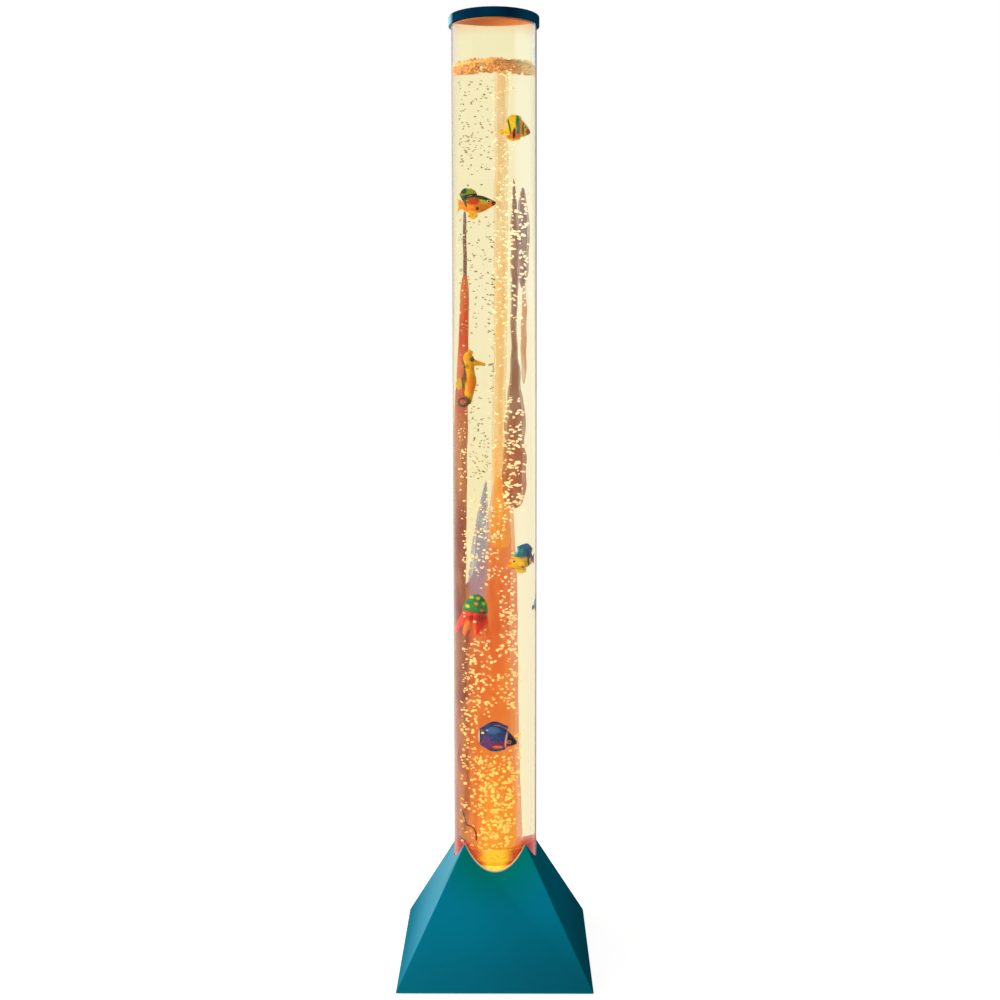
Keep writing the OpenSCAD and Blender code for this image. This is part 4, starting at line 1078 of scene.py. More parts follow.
seahorse = {
    "at": (-19, -2, 562.1), "turn": 0,
    "body": [
        (26, -0.4, 0.9, 1), (24.4, -0.4, 2.2, 1.6), (21.4, -0.4, 3.8, 2.4), (18, 0, 4.9, 3.1),
        (14.6, 0.2, 4.8, 3), (11, 0.2, 4, 2.7), (7.4, 0.4, 4, 2.9), (3, 0.4, 5, 3.8), (-1.6, 0.6, 5.6, 4.3),
        (-6, 0.6, 5.1, 3.9), (-10.6, 0.4, 4.1, 3), (-15, 0.2, 3.3, 2.3), (-19.6, 0, 2.6, 1.9),
        (-24, -0.2, 1.9, 1.6)],
    "snout": [
        (1.5, 16.4, 4.4, 2.6), (4.6, 15.4, 3.1, 2), (8, 14.4, 2, 1.5), (10.6, 13.8, 1.6, 1.35),
        (11.8, 13.5, 1.5, 1.3), (12.4, 13.4, 1.1, 1)],
    "crown": [(-1.2, 24.4, 1.2), (0.8, 26.2, 1.5), (2.6, 24.8, 1.2)],
    "back": (7, [(-3.6, 2.4), (-5, -2), (-3.8, -8)], [(-8.6, 1), (-12, -4.6), (-8.4, -10.4)]),
    "cheek": (3, [(0.6, 13), (0, 12), (0.6, 11)], [(-3, 14), (-4, 12), (-3, 10)]),
    "ridges": {"from": -24, "to": 12, "pitch": 2.6, "swell": 0.055},
    "tailRing": {"at": (-5, -21.4), "radius": 4.3, "thick": 1.7, "steps": 14, "turn": 330, "closes": 0.28,
                 "thins": 0.955},
    "eyes": (1.9, 18, 2.7, 1.25), "eyeRim": (150, 84, 30),
    "colour": (232, 176, 4), "second": (220, 152, 0),
    "patches": [
        ((240, 132, 8), 1.4, -5, 3, 9), ((92, 58, 24), -4.4, 10, 1.5, 13, 8),
        ((104, 70, 26), -4.6, -3, 1.2, 11, 4), ((96, 66, 24), -5, -21.4, 6.4, 6.4),
        ((130, 74, 24), 2, 18, 2, 2), ((238, 190, 40), -9.4, -4.6, 4, 6)],
}


def ringTail(ring):
    # the tail goes on into a ring, one turned step after another
    middle = Vector((ring["at"][0], 0, ring["at"][1]))
    deselectAll()
    bpy.ops.mesh.primitive_circle_add(vertices=12, radius=ring["thick"], fill_type="NGON",
                                      location=middle + Vector((ring["radius"], 0, 0)))
    tail = bpy.context.object
    applyTransforms()
    editMode()
    step = math.radians(ring["turn"] / ring["steps"])
    places = []
    for k in range(ring["steps"] + 1):
        reach = ring["radius"] * (1 - ring["closes"] * k / ring["steps"])
        places.append(middle + Vector((reach * math.cos(step * k), 0, -reach * math.sin(step * k))))
    for there, here in zip(places, places[1:]):
        bpy.ops.mesh.extrude_region_move(TRANSFORM_OT_translate={"value": here - there})
        bpy.ops.transform.rotate(value=-step, orient_axis="Y", center_override=here)
        bpy.ops.transform.resize(value=(ring["thins"],) * 3, center_override=here)
    normalsOut()
    applyModifier(tail, "SUBSURF", "round", levels=1, render_levels=1)
    return tail


def makeSeahorse():
    plan = seahorse
    mat = fishFinish("seahorsePaint", plan)
    # the body is lofted along X, then stood on its tail
    body = loft([(z, -x, wide, thick) for z, x, wide, thick in plan["body"]])
    applyTransforms(body, spin(-90, "Y"))
    # ridges round the body, as the bony rings of a seahorse
    ridges = plan["ridges"]
    for vertex in body.data.vertices:
        z = vertex.co.z
        if ridges["from"] < z < ridges["to"]:
            swell = 1 + ridges["swell"] * math.cos(2 * math.pi * z / ridges["pitch"])
            vertex.co.x = (vertex.co.x - 0.2) * swell + 0.2
            vertex.co.y *= swell
    parts = [body, loft(plan["snout"], vertices=12)]
    for x, z, r in plan["crown"]:
        deselectAll()
        bpy.ops.mesh.primitive_cone_add(vertices=12, radius1=r, radius2=r * 0.35, depth=r * 2.2,
                                        location=(x, 0, z))
        parts.append(bpy.context.object)
        applyTransforms()
        applyModifier(parts[-1], "BEVEL", "edge", width=0.3, segments=2, limit_method="ANGLE",
                      angle_limit=0.7)
    parts += [makeFin(*plan["back"]), makeFin(*plan["cheek"], 2, 1.4), makeFin(*plan["cheek"], -2, -1.4)]
    parts.append(ringTail(plan["tailRing"]))
    for part in parts:
        dress(part, mat)
    parts += makeEyes(plan["eyes"], (eyeFinish("seahorse", plan), eyeDark))
    settle(parts, "seahorseToy", "fish_3", "seahorse", plan)


jelly = {
    "at": (-15, 0, 338.2), "turn": 0,
    "dome": (9.4, 18, 1.8), "tilt": 7,  # dome: radius, height and its lower edge
    "hollow": (0.16, 0.3),
    "scallop": (0.06, 6),  # how deep and how far up the rim
    "arms": 8, "armTurn": 10, "armSeed": 5,
    "arm": [
        (0, 0, 3.1, 3.2), (4, 0.9, 3.3, 3.4), (9, 2.6, 2.9, 3.2), (14, 3.6, 2.7, 2.8), (19, 5.6, 2.2, 2.2),
        (23.5, 7.4, 1.6, 1.5), (26, 8.2, 1, 0.9)],
    "armPlace": (5.4, 0, 4.4),
    "colour": (44, 134, 74), "second": (32, 112, 64), "scales": 0.25,
    "patches": [
        ((170, 206, 60), -2.6, 17.4, 1.7, 1.5), ((180, 210, 64), 2.4, 16.6, 1.6, 1.5),
        ((170, 206, 60), 6.6, 11.6, 1.6, 1.8), ((176, 200, 56), -5.8, 8.6, 1.5, 1.7),
        ((236, 130, 40), 0.6, 11.6, 1.5, 1.5), ((230, 120, 40), 5, 5.4, 1.5, 1.4),
        ((24, 92, 60), 0, 2.4, 12, 1.5)],
}
jellyArms = {**jelly, "colour": (240, 62, 14), "second": (222, 44, 12), "scales": 0.5, "patches": [
    ((240, 128, 40), -6, -14, 5, 9), ((190, 40, 26), 1, -2, 10, 2.6), ((240, 120, 40), 9, -16, 4, 7)]}


def makeDome(plan):
    radius, tall, low = plan["dome"]
    deselectAll()
    bpy.ops.mesh.primitive_uv_sphere_add(segments=40, ring_count=24, radius=1, location=(0, 0, 0))
    dome = bpy.context.object
    editMode()
    bpy.ops.mesh.bisect(plane_co=(0, 0, 0.001), plane_no=(0, 0, 1), clear_inner=True, use_fill=True)
    bpy.ops.mesh.inset(thickness=plan["hollow"][0])
    bpy.ops.transform.translate(value=(0, 0, plan["hollow"][1]))  # the underside is hollow
    bpy.ops.mesh.select_all(action="SELECT")
    bpy.ops.transform.resize(value=(radius, radius, tall), center_override=(0, 0, 0))
    bpy.ops.transform.translate(value=(0, 0, low))
    objectMode()
    deep, up = plan["scallop"]
    for vertex in dome.data.vertices:
        # the rim is scalloped over the arms
        near = max(0, 1 - (vertex.co.z - low) / up)
        angle = math.atan2(vertex.co.y, vertex.co.x)
        swell = 1 + deep * near * math.cos(plan["arms"] * (angle - math.radians(plan["armTurn"])))
        vertex.co.x *= swell
        vertex.co.y *= swell
    applyModifier(dome, "SUBSURF", "round", levels=1, render_levels=1)
    dress(dome, fishFinish("jellyDomePaint", plan))
    return dome


def makeJelly():
    plan = jelly
    dome = makeDome(plan)
    arm = loft(plan["arm"], vertices=12)
    arms = [arm] + [copyPiece(arm) for _ in range(1, plan["arms"])]
    chance = random.Random(plan["armSeed"])
    for k, piece in enumerate(arms):
        turn = spin(plan["armTurn"] + 360 * k / plan["arms"], "Z")
        shorter = chance.uniform(0.86, 1.0)
        piece.matrix_world = (turn @ Matrix.Translation(plan["armPlace"]) @ spin(90, "Y")
                              @ Matrix.Diagonal((shorter, 1, 1, 1)))
    joinPieces(arms)
    applyTransforms()
    dress(arm, fishFinish("jellyArmPaint", jellyArms))
    for piece in (dome, arm):
        piece.matrix_world = spin(plan["tilt"], "Y")
    selectOnly(dome, arm)
    applyTransforms()
    settle([dome, arm], "jellyToy", "fish_5", "jellyfish", plan)


makeFish("stripedFishToy", "fish_1", "striped_fish", stripedFish)
makeFish("greenBackFishToy", "fish_2", "green_back_fish", greenBackFish)
makeFish("blueTopFishToy", "fish_4", "blue_top_fish", blueTopFish)
makeFish("violetFishToy", "fish_6", "violet_fish", violetFish)
makeFish("tealFishToy", "fish_7", "teal_fish", tealFish)
makeSeahorse()
makeJelly()
print("fish made")

haze = {
    # stations up the column: z, middle x, half width, half depth, middle y, in mm
    "lower": [
        (101.4, 0, 13, 12, 0), (112, 0, 14, 12, 1), (117, -2, 17.4, 12.4, 8), (121, -4.4, 20.8, 12.2, 16),
        (138, -5, 20.6, 12.4, 15.8), (170, -5.4, 20.6, 11.4, 15.5), (215, -5.4, 20.2, 11.6, 15.5),
        (240, -5.4, 20, 11, 16), (262, -5.6, 18.8, 5, 22.4), (320, -5.4, 18.6, 4.8, 22.4),
        (352, -4.6, 17.8, 4.8, 22.2), (372, -0.6, 13.6, 4.6, 22), (400, 2.6, 9.6, 4.2, 22),
        (440, 3.6, 7.4, 4, 21.6), (470, 3.6, 4, 3.6, 21)],
    "golden": [
        (101.6, 0, 13, 12, 0), (111, 0, 13, 12, 0), (116, 0.4, 13, 11, 6), (121, 0.6, 12.6, 9, 14),
        (138, 0.6, 12.4, 9, 14), (180, 1, 11.8, 9, 14.6), (230, 1.6, 10.4, 8, 15), (256, 2, 9.4, 4, 21.4),
        (300, 2.6, 8, 3.6, 21.6), (350, 3.4, 6, 3.2, 21.6)],
    "stream": [
        (400, 3.2, 6.2, 4.4, 18.6), (430, 3.2, 5.8, 4.4, 18), (470, 2.6, 5.2, 4.4, 17.4),
        (520, 2.4, 4.8, 4.4, 17), (600, 3.6, 4.6, 4.2, 17), (680, 3.9, 4.4, 4.2, 17), (760, 4.2, 4.4, 4, 17),
        (836, 4.2, 4.4, 4, 17), (846, 4.2, 4.4, 4, 17), (851, 4.2, 4.4, 4, 17)],
    # painted reflections of the room seen through the water, on the right: band, patch and strand
    "rightBand": [
        (438, 11.6, 5, 4, 14), (450, 12, 7, 4.2, 14), (480, 12.6, 7.4, 4.2, 14), (512, 12.8, 7, 4.2, 14),
        (536, 13.4, 5.4, 4, 14), (560, 13, 3.6, 4, 14), (600, 12.4, 2, 3.6, 14), (640, 12.6, 2.4, 3.6, 14),
        (690, 12.8, 2.8, 3.8, 14), (716, 12.6, 2, 3.2, 14), (738, 12.3, 1.1, 2.4, 14),
        (748, 12.2, 0.4, 1, 14)],
    "rightPatch": [
        (646, 17.6, 0.8, 1.6, 14), (654, 17.6, 2.6, 3, 14), (668, 18, 3.8, 3.6, 14), (690, 18, 4.2, 3.6, 14),
        (712, 18.2, 3.8, 3.4, 14), (724, 17.4, 2.8, 3, 14), (734, 17.8, 1.8, 2.4, 14),
        (740, 17.8, 0.6, 1.2, 14)],
    "rightStrand": [
        (556, 18.4, 0.5, 1, 14), (566, 18.4, 1.5, 2, 14), (600, 18.6, 1.9, 2.2, 14),
        (632, 18.8, 1.6, 2.2, 14), (652, 18.8, 0.6, 1.2, 14)],
    # painted reflections of the room seen through the water, on the left: band and line, and the blue wedge
    "leftBand": [
        (112, -21, 4.6, 3.4, 16), (150, -21.6, 4.8, 3.4, 16.6), (240, -22.2, 4.8, 3.4, 17.2),
        (300, -22.4, 4.7, 3.4, 17.2), (360, -22.4, 4.5, 3.4, 17.2), (450, -21.6, 4.2, 3.4, 17.2),
        (540, -20.4, 3.6, 3.4, 16), (610, -19.2, 2.8, 3.4, 15), (646, -18.8, 2.5, 3, 15),
        (656, -18.6, 1.6, 2.2, 15), (661, -18.5, 0.5, 1, 15)],
    "leftLine": [
        (648, -18.5, 1, 1.6, 15), (660, -18.5, 1.1, 1.6, 15), (700, -18.6, 1, 1.6, 15),
        (714, -18.5, 0.9, 1.6, 15), (718, -18.5, 0.6, 1, 15)],
    "wedge": [
        (346, -10.4, 6.2, 1.1, 18.4), (372, -10.4, 6.2, 1.1, 18.4), (400, -9.4, 5.4, 1.1, 18.4),
        (430, -7.8, 3.7, 1.1, 18.4), (452, -6.4, 1.9, 1, 18.4), (465, -5.6, 0.6, 0.7, 18.4)],
    # name, stations, look, share of the width of each shell, how uneven the outline is
    "pieces": [
        ("lowerHaze", "lower", "orangeHaze", (1.0, 0.74, 0.46), 0.08),
        ("goldenHaze", "golden", "goldenHaze", (1.0, 0.62), 0.3),
        ("streamHaze", "stream", "tanHaze", (1.0, 0.6), 0.5),
        # painted reflections of the room, from here to the end of the list
        ("rightHaze", "rightBand", "brownRoomReflection", (1.0, 0.66), 0.7),
        ("rightPatch", "rightPatch", "brownRoomReflection", (1.0, 0.6), 0.8),
        ("rightStrand", "rightStrand", "ochreRoomReflection", (1.0,), 0.4),
        ("leftHaze", "leftBand", "redRoomReflection", (1.0, 0.6), 0.2),
        ("leftLine", "leftLine", "duskRoomReflection", (1.0,), 0.15),
        ("blueWedge", "wedge", "blueRoomReflection", (1.0, 0.6), 0.2)],
    # colours at three heights; the heights, alphas there, glow, raggedness, and where it fades to its outline
    "looks": {
        # bubble clouds: their orange, golden and tan colour and glow are painted light of the LEDs
        "orangeHaze": (((232, 116, 26), (226, 92, 22), (232, 130, 50)),
                       (0.12, 0.34, 0.47), (0.5, 0.6, 0.3), 0.78, 0.3, (0.78, 0.995)),
        "goldenHaze": (((252, 184, 10), (246, 150, 26), (236, 120, 36)),
                       (0.12, 0.21, 0.35), (0.85, 0.5, 0.0), 0.92, 0.3, (0.55, 0.97)),
        "tanHaze": (((240, 164, 40), (236, 184, 92), (224, 180, 118)),
                    (0.43, 0.56, 0.84), (0.5, 0.4, 0.34), 0.84, 0.75, (0.45, 0.95)),
        # painted reflections of the room, from here to the end of the looks
        "brownRoomReflection": (((168, 58, 34), (134, 62, 56), (122, 80, 112)),
                      (0.46, 0.57, 0.7), (0.7, 0.6, 0.55), 0.62, 0.6, (0.55, 0.97)),
        "ochreRoomReflection": (((206, 140, 104), (206, 150, 112), (196, 158, 128)),
                      (0.56, 0.6, 0.65), (0.8, 0.9, 0.8), 0.7, 0.8, (0.8, 0.99)),
        "redRoomReflection": (((150, 58, 32), (184, 112, 74), (212, 74, 34)),
                    (0.39, 0.48, 0.59), (1.6, 1.0, 1.2), 0.66, 0.35, (0.82, 0.995)),
        "duskRoomReflection": (((96, 40, 70), (84, 44, 96), (84, 48, 104)),
                     (0.65, 0.68, 0.71), (1.1, 1.1, 1.0), 0.5, 0.6, (0.85, 0.999)),
        "blueRoomReflection": (((120, 140, 204), (112, 142, 206), (110, 150, 200)),
                     (0.35, 0.4, 0.46), (0.5, 0.5, 0.5), 0.75, 0.7, (0.55, 0.97)),
    },
    # painted reflection of the room: the left of the orange haze turns brown: colour, where, and how much thicker
    # it gets
    "left": {"orangeHaze": ((150, 58, 26), (-0.029, -0.02), 0.9)},
    "streakColour": (255, 190, 110), "streakShare": 0.3,
    "dark": 0.72,
    "between": 9,  # mm from one station to the next
    "uneven": 0.22,  # share of the unevenness that goes into the width
}


def makeStreaks():
    # upright streaks, 0 to 1
    group, sheet, inn, out = newGroup("risingStreaks", {
        "Across": 260.0, "Up": 30.0, "Low": 0.35, "High": 0.65}, {"Mask": 0.0})
    place = sheet.place()[1]
    scaled = {k: sheet.times(place[k], inn["Up" if k == 2 else "Across"]) for k in range(3)}
    noise = sheet.noise(sheet.add("CombineXYZ", scaled).outputs[0], 1, 4)
    sheet.put(out["Mask"], sheet.span(noise, inn["Low"], inn["High"]))
    return group


risingStreaks = makeStreaks()


def dimSkin(sheet, tone, dark, glow, inputs):
    # lights itself more than it catches light
    return sheet.skin(sheet.mix(dark, tone, (0, 0, 0, 1)), inputs, glow, tone)


def hazeFinish(name):
    # colours and see-through both change with height
    colours, heights, alphas, glow, ragged, fade = haze["looks"][name]
    mat, sheet = newSheet(name)
    place = sheet.place()[1]
    tone = tintByHeight(sheet, [linear(*colour) for colour in colours], heights)
    left = None
    if name in haze["left"]:
        # the brown at the left is a painted reflection of the room
        colour, ends, thicker = haze["left"][name]
        atAxis, perMetre = water["widens"]
        widened = sheet.math("ADD", sheet.times(place[1], perMetre), atAxis)
        left = sheet.span(sheet.times(place[0], widened), *ends, 1.0, 0.0, smooth=True)
        tone = sheet.mix(left, tone, linear(*colour))
    streaks = sheet.add("Group", node_tree=risingStreaks).outputs["Mask"]
    tone = sheet.mix(sheet.times(streaks, haze["streakShare"]), tone, linear(*haze["streakColour"]))
    first = sheet.span(place[2], *heights[:2], *alphas[:2], smooth=True)
    second = sheet.span(place[2], *heights[1:], 1.0, alphas[2] / alphas[1], smooth=True)
    alpha = sheet.times(sheet.times(first, second), sheet.span(streaks, 0, 1, 1 - ragged, 1.08))
    if left:
        alpha = sheet.math("ADD", alpha, sheet.times(left, thicker))
    # thin towards its own outline, so that no hard edge shows
    alpha = sheet.times(alpha, sheet.span(sheet.facing(), *fade, 1.0, 0.0, smooth=True))
    sheet.out(dimSkin(sheet, tone, haze["dark"], glow, {
        "Roughness": 0.9, "Specular IOR Level": 0, "Alpha": sheet.span(alpha, 0, 1)}))
    return mat


def wavering(stations, name, off):
    # more stations between the given ones, each a little off, so that the outline is uneven
    chance = random.Random(name)
    rings = []
    for low, high in zip(stations, stations[1:]):
        steps = max(1, round((high[0] - low[0]) / haze["between"]))
        for k in range(steps):
            z, x, wide, deep, y = (a + (b - a) * k / steps for a, b in zip(low, high))
            if k:
                x += chance.uniform(-1, 1) * off
                wide *= 1 + chance.uniform(-1, 1) * off * haze["uneven"]
            rings.append((z, x, wide, deep, y))
    return rings + [stations[-1]]


def makeColumnHaze():
    mats = {look: hazeFinish(look) for look in haze["looks"]}
    for name, stations, look, shells, off in haze["pieces"]:
        for k, share in enumerate(shells):
            piece = loft([(z, -x, wide * share, deep * share, y) for z, x, wide, deep, y
                          in wavering(haze[stations], name, off)], vertices=20)
            piece.name = name + str(k + 1)
            applyTransforms(piece, spin(-90, "Y") @ Matrix.Diagonal((mm, mm, mm, 1)))
            bpy.ops.object.shade_smooth()
            register(piece, mats[look])


glowPool = {
    # radius, low z and high z in mm, colour, second colour, alpha, glow
    "parts": [
        (36.7, 101.0, 117.2, (196, 32, 6), (224, 62, 10), 1.0, 0.8),
        (19, 101.3, 113.6, (255, 226, 48), (254, 184, 22), 0.92, 1.0)],
    "dish": 4.5 * mm,
    "steps": (0.4, 0.3, 0.2, 0.1),
    "thinTop": (3 * mm, 0.55),  # how far down it gets thinner, and how thin
    "dark": 0.7,
    "clearMiddle": (6 * mm, 19 * mm, 0.12),  # from and to either side of the middle, and what is left there
}


def poolFinish(name, high, colour, second, alpha, glow, clearMiddle):
    mat, sheet = newSheet(name)
    place, apart = sheet.place()
    lump = sheet.span(sheet.cells(place, 420), 0.1, 0.6)
    deep, thin = glowPool["thinTop"]
    fade = sheet.span(apart[2], high - deep, high, alpha, alpha * thin)
    fade = sheet.times(fade, sheet.span(lump, 0, 1, 1.0, 0.92))
    if clearMiddle:
        *ends, share = clearMiddle
        fade = sheet.times(fade, sheet.span(sheet.size(apart[0]), *ends, share, 1.0, smooth=True))
    tone = sheet.mix(lump, linear(*second), linear(*colour))
    sheet.out(dimSkin(sheet, tone, glowPool["dark"], glow, {
        "Roughness": 0.8, "Specular IOR Level": 0.1, "Alpha": fade}))
    return mat


def makeGlowPool():
    # the crowded bubbles right over the lit plug; the yellow middle shows through the red outside
    for k, (radius, low, high, *look) in enumerate(glowPool["parts"]):
        radius, low, high = radius * mm, low * mm, high * mm
        piece = addCylinder("glowPool" + str(k + 1), radius, low, high, vertices=96)
        pressTop(piece, [(radius * 0.2, glowPool["dish"] * share) for share in glowPool["steps"]])
        applyModifier(piece, "BEVEL", "rim", width=1.2 * mm, segments=3, limit_method="ANGLE",
                      angle_limit=1.0)
        smoothBy(40)
        mat = poolFinish("glowPoolHaze" + str(k + 1), high, *look, None if k else glowPool["clearMiddle"])
        register(piece, mat)


froth = {
    "radius": 36.5 * mm,
    "low": 850.9 * mm,
    "high": 853.9 * mm,
    "voxel": 0.8 * mm,
    "lumps": 0.9 * mm,
    "lumpSize": 0.006,
    # golden, and glowing: painted light of the LEDs on the foam
    "colours": ((240, 176, 108), (188, 128, 80)),
    "cellColour": (252, 216, 156),
    "thinColour": (240, 226, 172),  # the foam is thinnest at the right
    "bubbles": 640,
    "sizes": (0.8, 2.1),  # half width in mm
    "onTop": 0.25,  # share of the bubbles that lie on the bed
    "lift": 0.2, "tall": 0.85,  # shares of the width
    "crowd": 9 * mm,  # how far in from the wall most bubbles are
    "hang": 7.2 * mm,  # how far bubbles crowd under the bed
    "seed": 4,
}


def frothFinish():
    mat, sheet = newSheet("goldenFroth")
    place, apart = sheet.place()
    shade = sheet.math("ADD", sheet.noise(place, 110, 3), sheet.span(apart[0], -0.01, 0.02, 0.0, 0.12))
    cells = sheet.cells(place, 520)
    tone = sheet.mix(sheet.span(shade, 0.5, 0.66), *[linear(*colour) for colour in froth["colours"]])
    tone = sheet.mix(sheet.span(cells, 0.15, 0.5, 0.75, 0.0), tone, linear(*froth["cellColour"]))
    tone = sheet.mix(sheet.span(apart[0], 0.015, 0.028, 0.0, 0.7), tone, linear(*froth["thinColour"]))
    foam = sheet.bump(cells, 0.6, 0.0006, invert=True)
    # its glow is painted light of the LEDs
    sheet.out(sheet.skin(tone, {"Roughness": 0.45, "Normal": foam}, 0.3))
    return mat


def makeFroth():
    piece = addCylinder("frothBed", froth["radius"], froth["low"], froth["high"], vertices=128)
    applyModifier(piece, "REMESH", "even", mode="VOXEL", voxel_size=froth["voxel"])
    lumps = bpy.data.textures.new("frothLumps", "VORONOI")
    lumps.noise_scale = froth["lumpSize"]
    applyModifier(piece, "DISPLACE", "lumps", texture=lumps, texture_coords="LOCAL", direction="Z",
                  strength=froth["lumps"], mid_level=0.6)
    applyModifier(piece, "SMOOTH", "soft", factor=0.5, iterations=2)
    bpy.ops.object.shade_smooth()
    mat = frothFinish()
    register(piece, mat)
    chance = random.Random(froth["seed"])
    spots = []
    while len(spots) < froth["bubbles"]:
        wide = chance.uniform(*froth["sizes"]) * mm
        if chance.random() < froth["onTop"]:
            reach = (froth["radius"] - wide) * math.sqrt(chance.random())
            z = froth["high"] + wide * froth["lift"]
        else:
            reach = froth["radius"] - wide - chance.random() ** 2 * froth["crowd"]
            z = froth["low"] - chance.random() * froth["hang"]
        angle = chance.uniform(0, 2 * math.pi)
        x, y = reach * math.cos(angle), reach * math.sin(angle)
        if clearOfFish(x, y, z, wide):
            tall = wide * froth["tall"]
            spots.append(((x, y, z), wide, tall, chance.gauss(0, 0.2), chance.uniform(0, 6.283)))
    scatter("frothBubbles", spots, mat)


strand = {
    # a fine dark thread low in the water: x and z in mm
    "points": [
        (-29.3, 150), (-27.1, 145.5), (-25, 138.5), (-23.7, 136), (-20.4, 135), (-17.8, 133.5), (-15.7, 129),
        (-15.3, 121.5)],
    "y": -16,
    "radius": 0.62,
    "steps": 48,
    "colour": (66, 30, 30),
    "second": (96, 40, 30),
}


def sweepRoute(name, route, steps, radius, corners=2):
    return sweep(name, [alongCurve(route, k / steps) for k in range(steps + 1)], radius, corners)


def makeStrand():
    piece = sweepRoute("darkThread", [(x, strand["y"], z) for x, z in strand["points"]], strand["steps"],
                       strand["radius"])
    mat = plasticFinish("threadSkin", strand["colour"], strand["second"], roughness=0.7, grain=3000, bump=0.3,
                        blotch=200, specular=0.1)
    register(piece, mat)


makeColumnHaze()
makeGlowPool()
makeFroth()
makeStrand()
print("haze, glow and froth made")

routes = {
    # in mm, through the same points as the parts that they stand for
    "pumpHose": [
        (-49.2, -27, 23), (-49.2, -34, 23), (-45, -41, 24), (-36, -46, 27), (-31, -46, 28), (-25, -46, 28)],
    "nozzleHose": [
        (-3, -46, 28), (3, -46, 28), (11, -44, 31), (17, -36, 37), (15, -24, 44), (9, -12, 48), (3, -3, 51),
        (0, 0, 60.9), (0, 0, 70.9)],
    "jackLead": [
        (-13, 55.67, 22), (-13, 46.67, 22), (-9, 42.67, 26), (0, 42.07, 34.5), (4, 46.07, 38.5),
        (4, 51.07, 38.5)],
    "pumpLead": [
        (20, 51.07, 38.5), (20, 46.07, 38.5), (17, 41.07, 34.5), (11, 35, 30), (8, 32, 30), (8, 25, 30),
        (1, 15.4, 30), (1, 12.4, 30)],
    "ledLead": [
        (12, 51.07, 38.5), (12, 46.07, 38.5), (13, 39.07, 41.5), (17, 24, 51.89), (18, 15, 55.89),
        (18, 10, 58.89), (18, 10, 64.89)],
    "hoseRadius": 3,
    "leadRadius": 1,
    "hoseTints": ((0.82, 0.9, 0.88, 1), (0.68, 0.78, 0.76, 1)),
    "steps": 60,
}

spring = {
    "centre": (12, 22),  # x and z
    "from": 58.97,
    "to": 67.87,
    "radius": 5,
    "wire": 0.3,
    "turns": 4,
    "pointsPerTurn": 28,
    "flatEnd": 0.06,  # share of its length
}


def makeRuns():
    clear, sheet = newSheet("clearHose")
    tint = sheet.mix(sheet.noise(sheet.place()[0], 140), *routes["hoseTints"])
    letLampsThrough(sheet, glassSkin(sheet, tint, glass["hoseIor"], glass["hoseRoughness"]), tint)
    red = plasticFinish("leadRed", (176, 34, 30), (150, 24, 22), roughness=0.4, grain=2500, bump=0.08,
                        blotch=200)
    for name, node in (("pumpHose", "pump_hose"), ("nozzleHose", "nozzle_hose"), ("jackLead", "jack_lead"),
                       ("pumpLead", "pump_lead"), ("ledLead", "led_lead")):
        hose = name.endswith("Hose")
        radius, corners = (routes["hoseRadius"], 4) if hose else (routes["leadRadius"], 2)
        piece = sweepRoute(name, routes[name], routes["steps"], radius, corners)
        register(piece, clear if hose else red, node=node)


# sharp edges get a painted sheen
def metalFinish(name, colour, second, roughness, brush):
    return plasticFinish(name, colour, second, roughness=roughness, grain=brush, bump=0.15, blotch=160,
                         amount=0.6, spread=0.2, metallic=1, sheenColour=(235, 232, 225), sheenShare=0.3)


def makeSpring():
    count = spring["turns"] * spring["pointsPerTurn"]
    flat = spring["flatEnd"]
    points = []
    for k in range(count + 1):
        angle = 2 * math.pi * k / spring["pointsPerTurn"]
        share = min(max((k / count - flat) / (1 - 2 * flat), 0), 1)
        points.append((spring["centre"][0] + spring["radius"] * math.cos(angle),
                       spring["from"] + (spring["to"] - spring["from"]) * share,
                       spring["centre"][1] + spring["radius"] * math.sin(angle)))
    piece = sweep("buttonSpring", points, spring["wire"])
    register(piece, metalFinish("springSteel", (196, 198, 202), (160, 162, 168), 0.28, 1200),
             node="button_spring")
    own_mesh(piece)


def bandedFinish(name, first, second, axis, pitch, roughness, metallic):
    # fine lines one beside the other: iron sheets, or turns of wire
    mat, sheet = newSheet(name)
    wave = sheet.math("SINE", sheet.times(sheet.place()[1][axis], 2 * math.pi / pitch))
    line = sheet.span(wave, -1, 0.3, smooth=True)
    sheet.out(sheet.skin(sheet.mix(line, linear(*second), linear(*first)), {
        "Normal": sheet.bump(line, 0.5, pitch * 0.3), "Metallic": metallic,
        "Roughness": sheet.span(line, 0, 1, roughness + 0.2, roughness)}))
    return mat


def stoneFinish():
    mat, sheet = newSheet("porousStone")
    deep = sheet.span(sheet.cells(sheet.place()[0], 1400), 0.1, 0.5)
    tone = sheet.mix(deep, linear(120, 108, 92), linear(196, 186, 166))
    sheet.out(sheet.skin(tone, {"Normal": sheet.bump(deep, 0.8, 0.0004), "Roughness": 0.9}))
    return mat


plug = {
    # acrylic lit by the ring of LEDs under it: yellow in the middle, red-orange at the wall
    "middleColour": (255, 206, 40),
    "innerColour": (250, 150, 24), "innerFrom": (6 * mm, 13 * mm),
    "outerColour": (214, 52, 10), "outerFrom": (10 * mm, 19 * mm),
    "rippleColour": (255, 150, 30), "rippleScale": 160,
    "spotColour": (255, 238, 150), "spotScale": 300, "spotTo": (20 * mm, 34 * mm),
    "glow": 0.7,
}


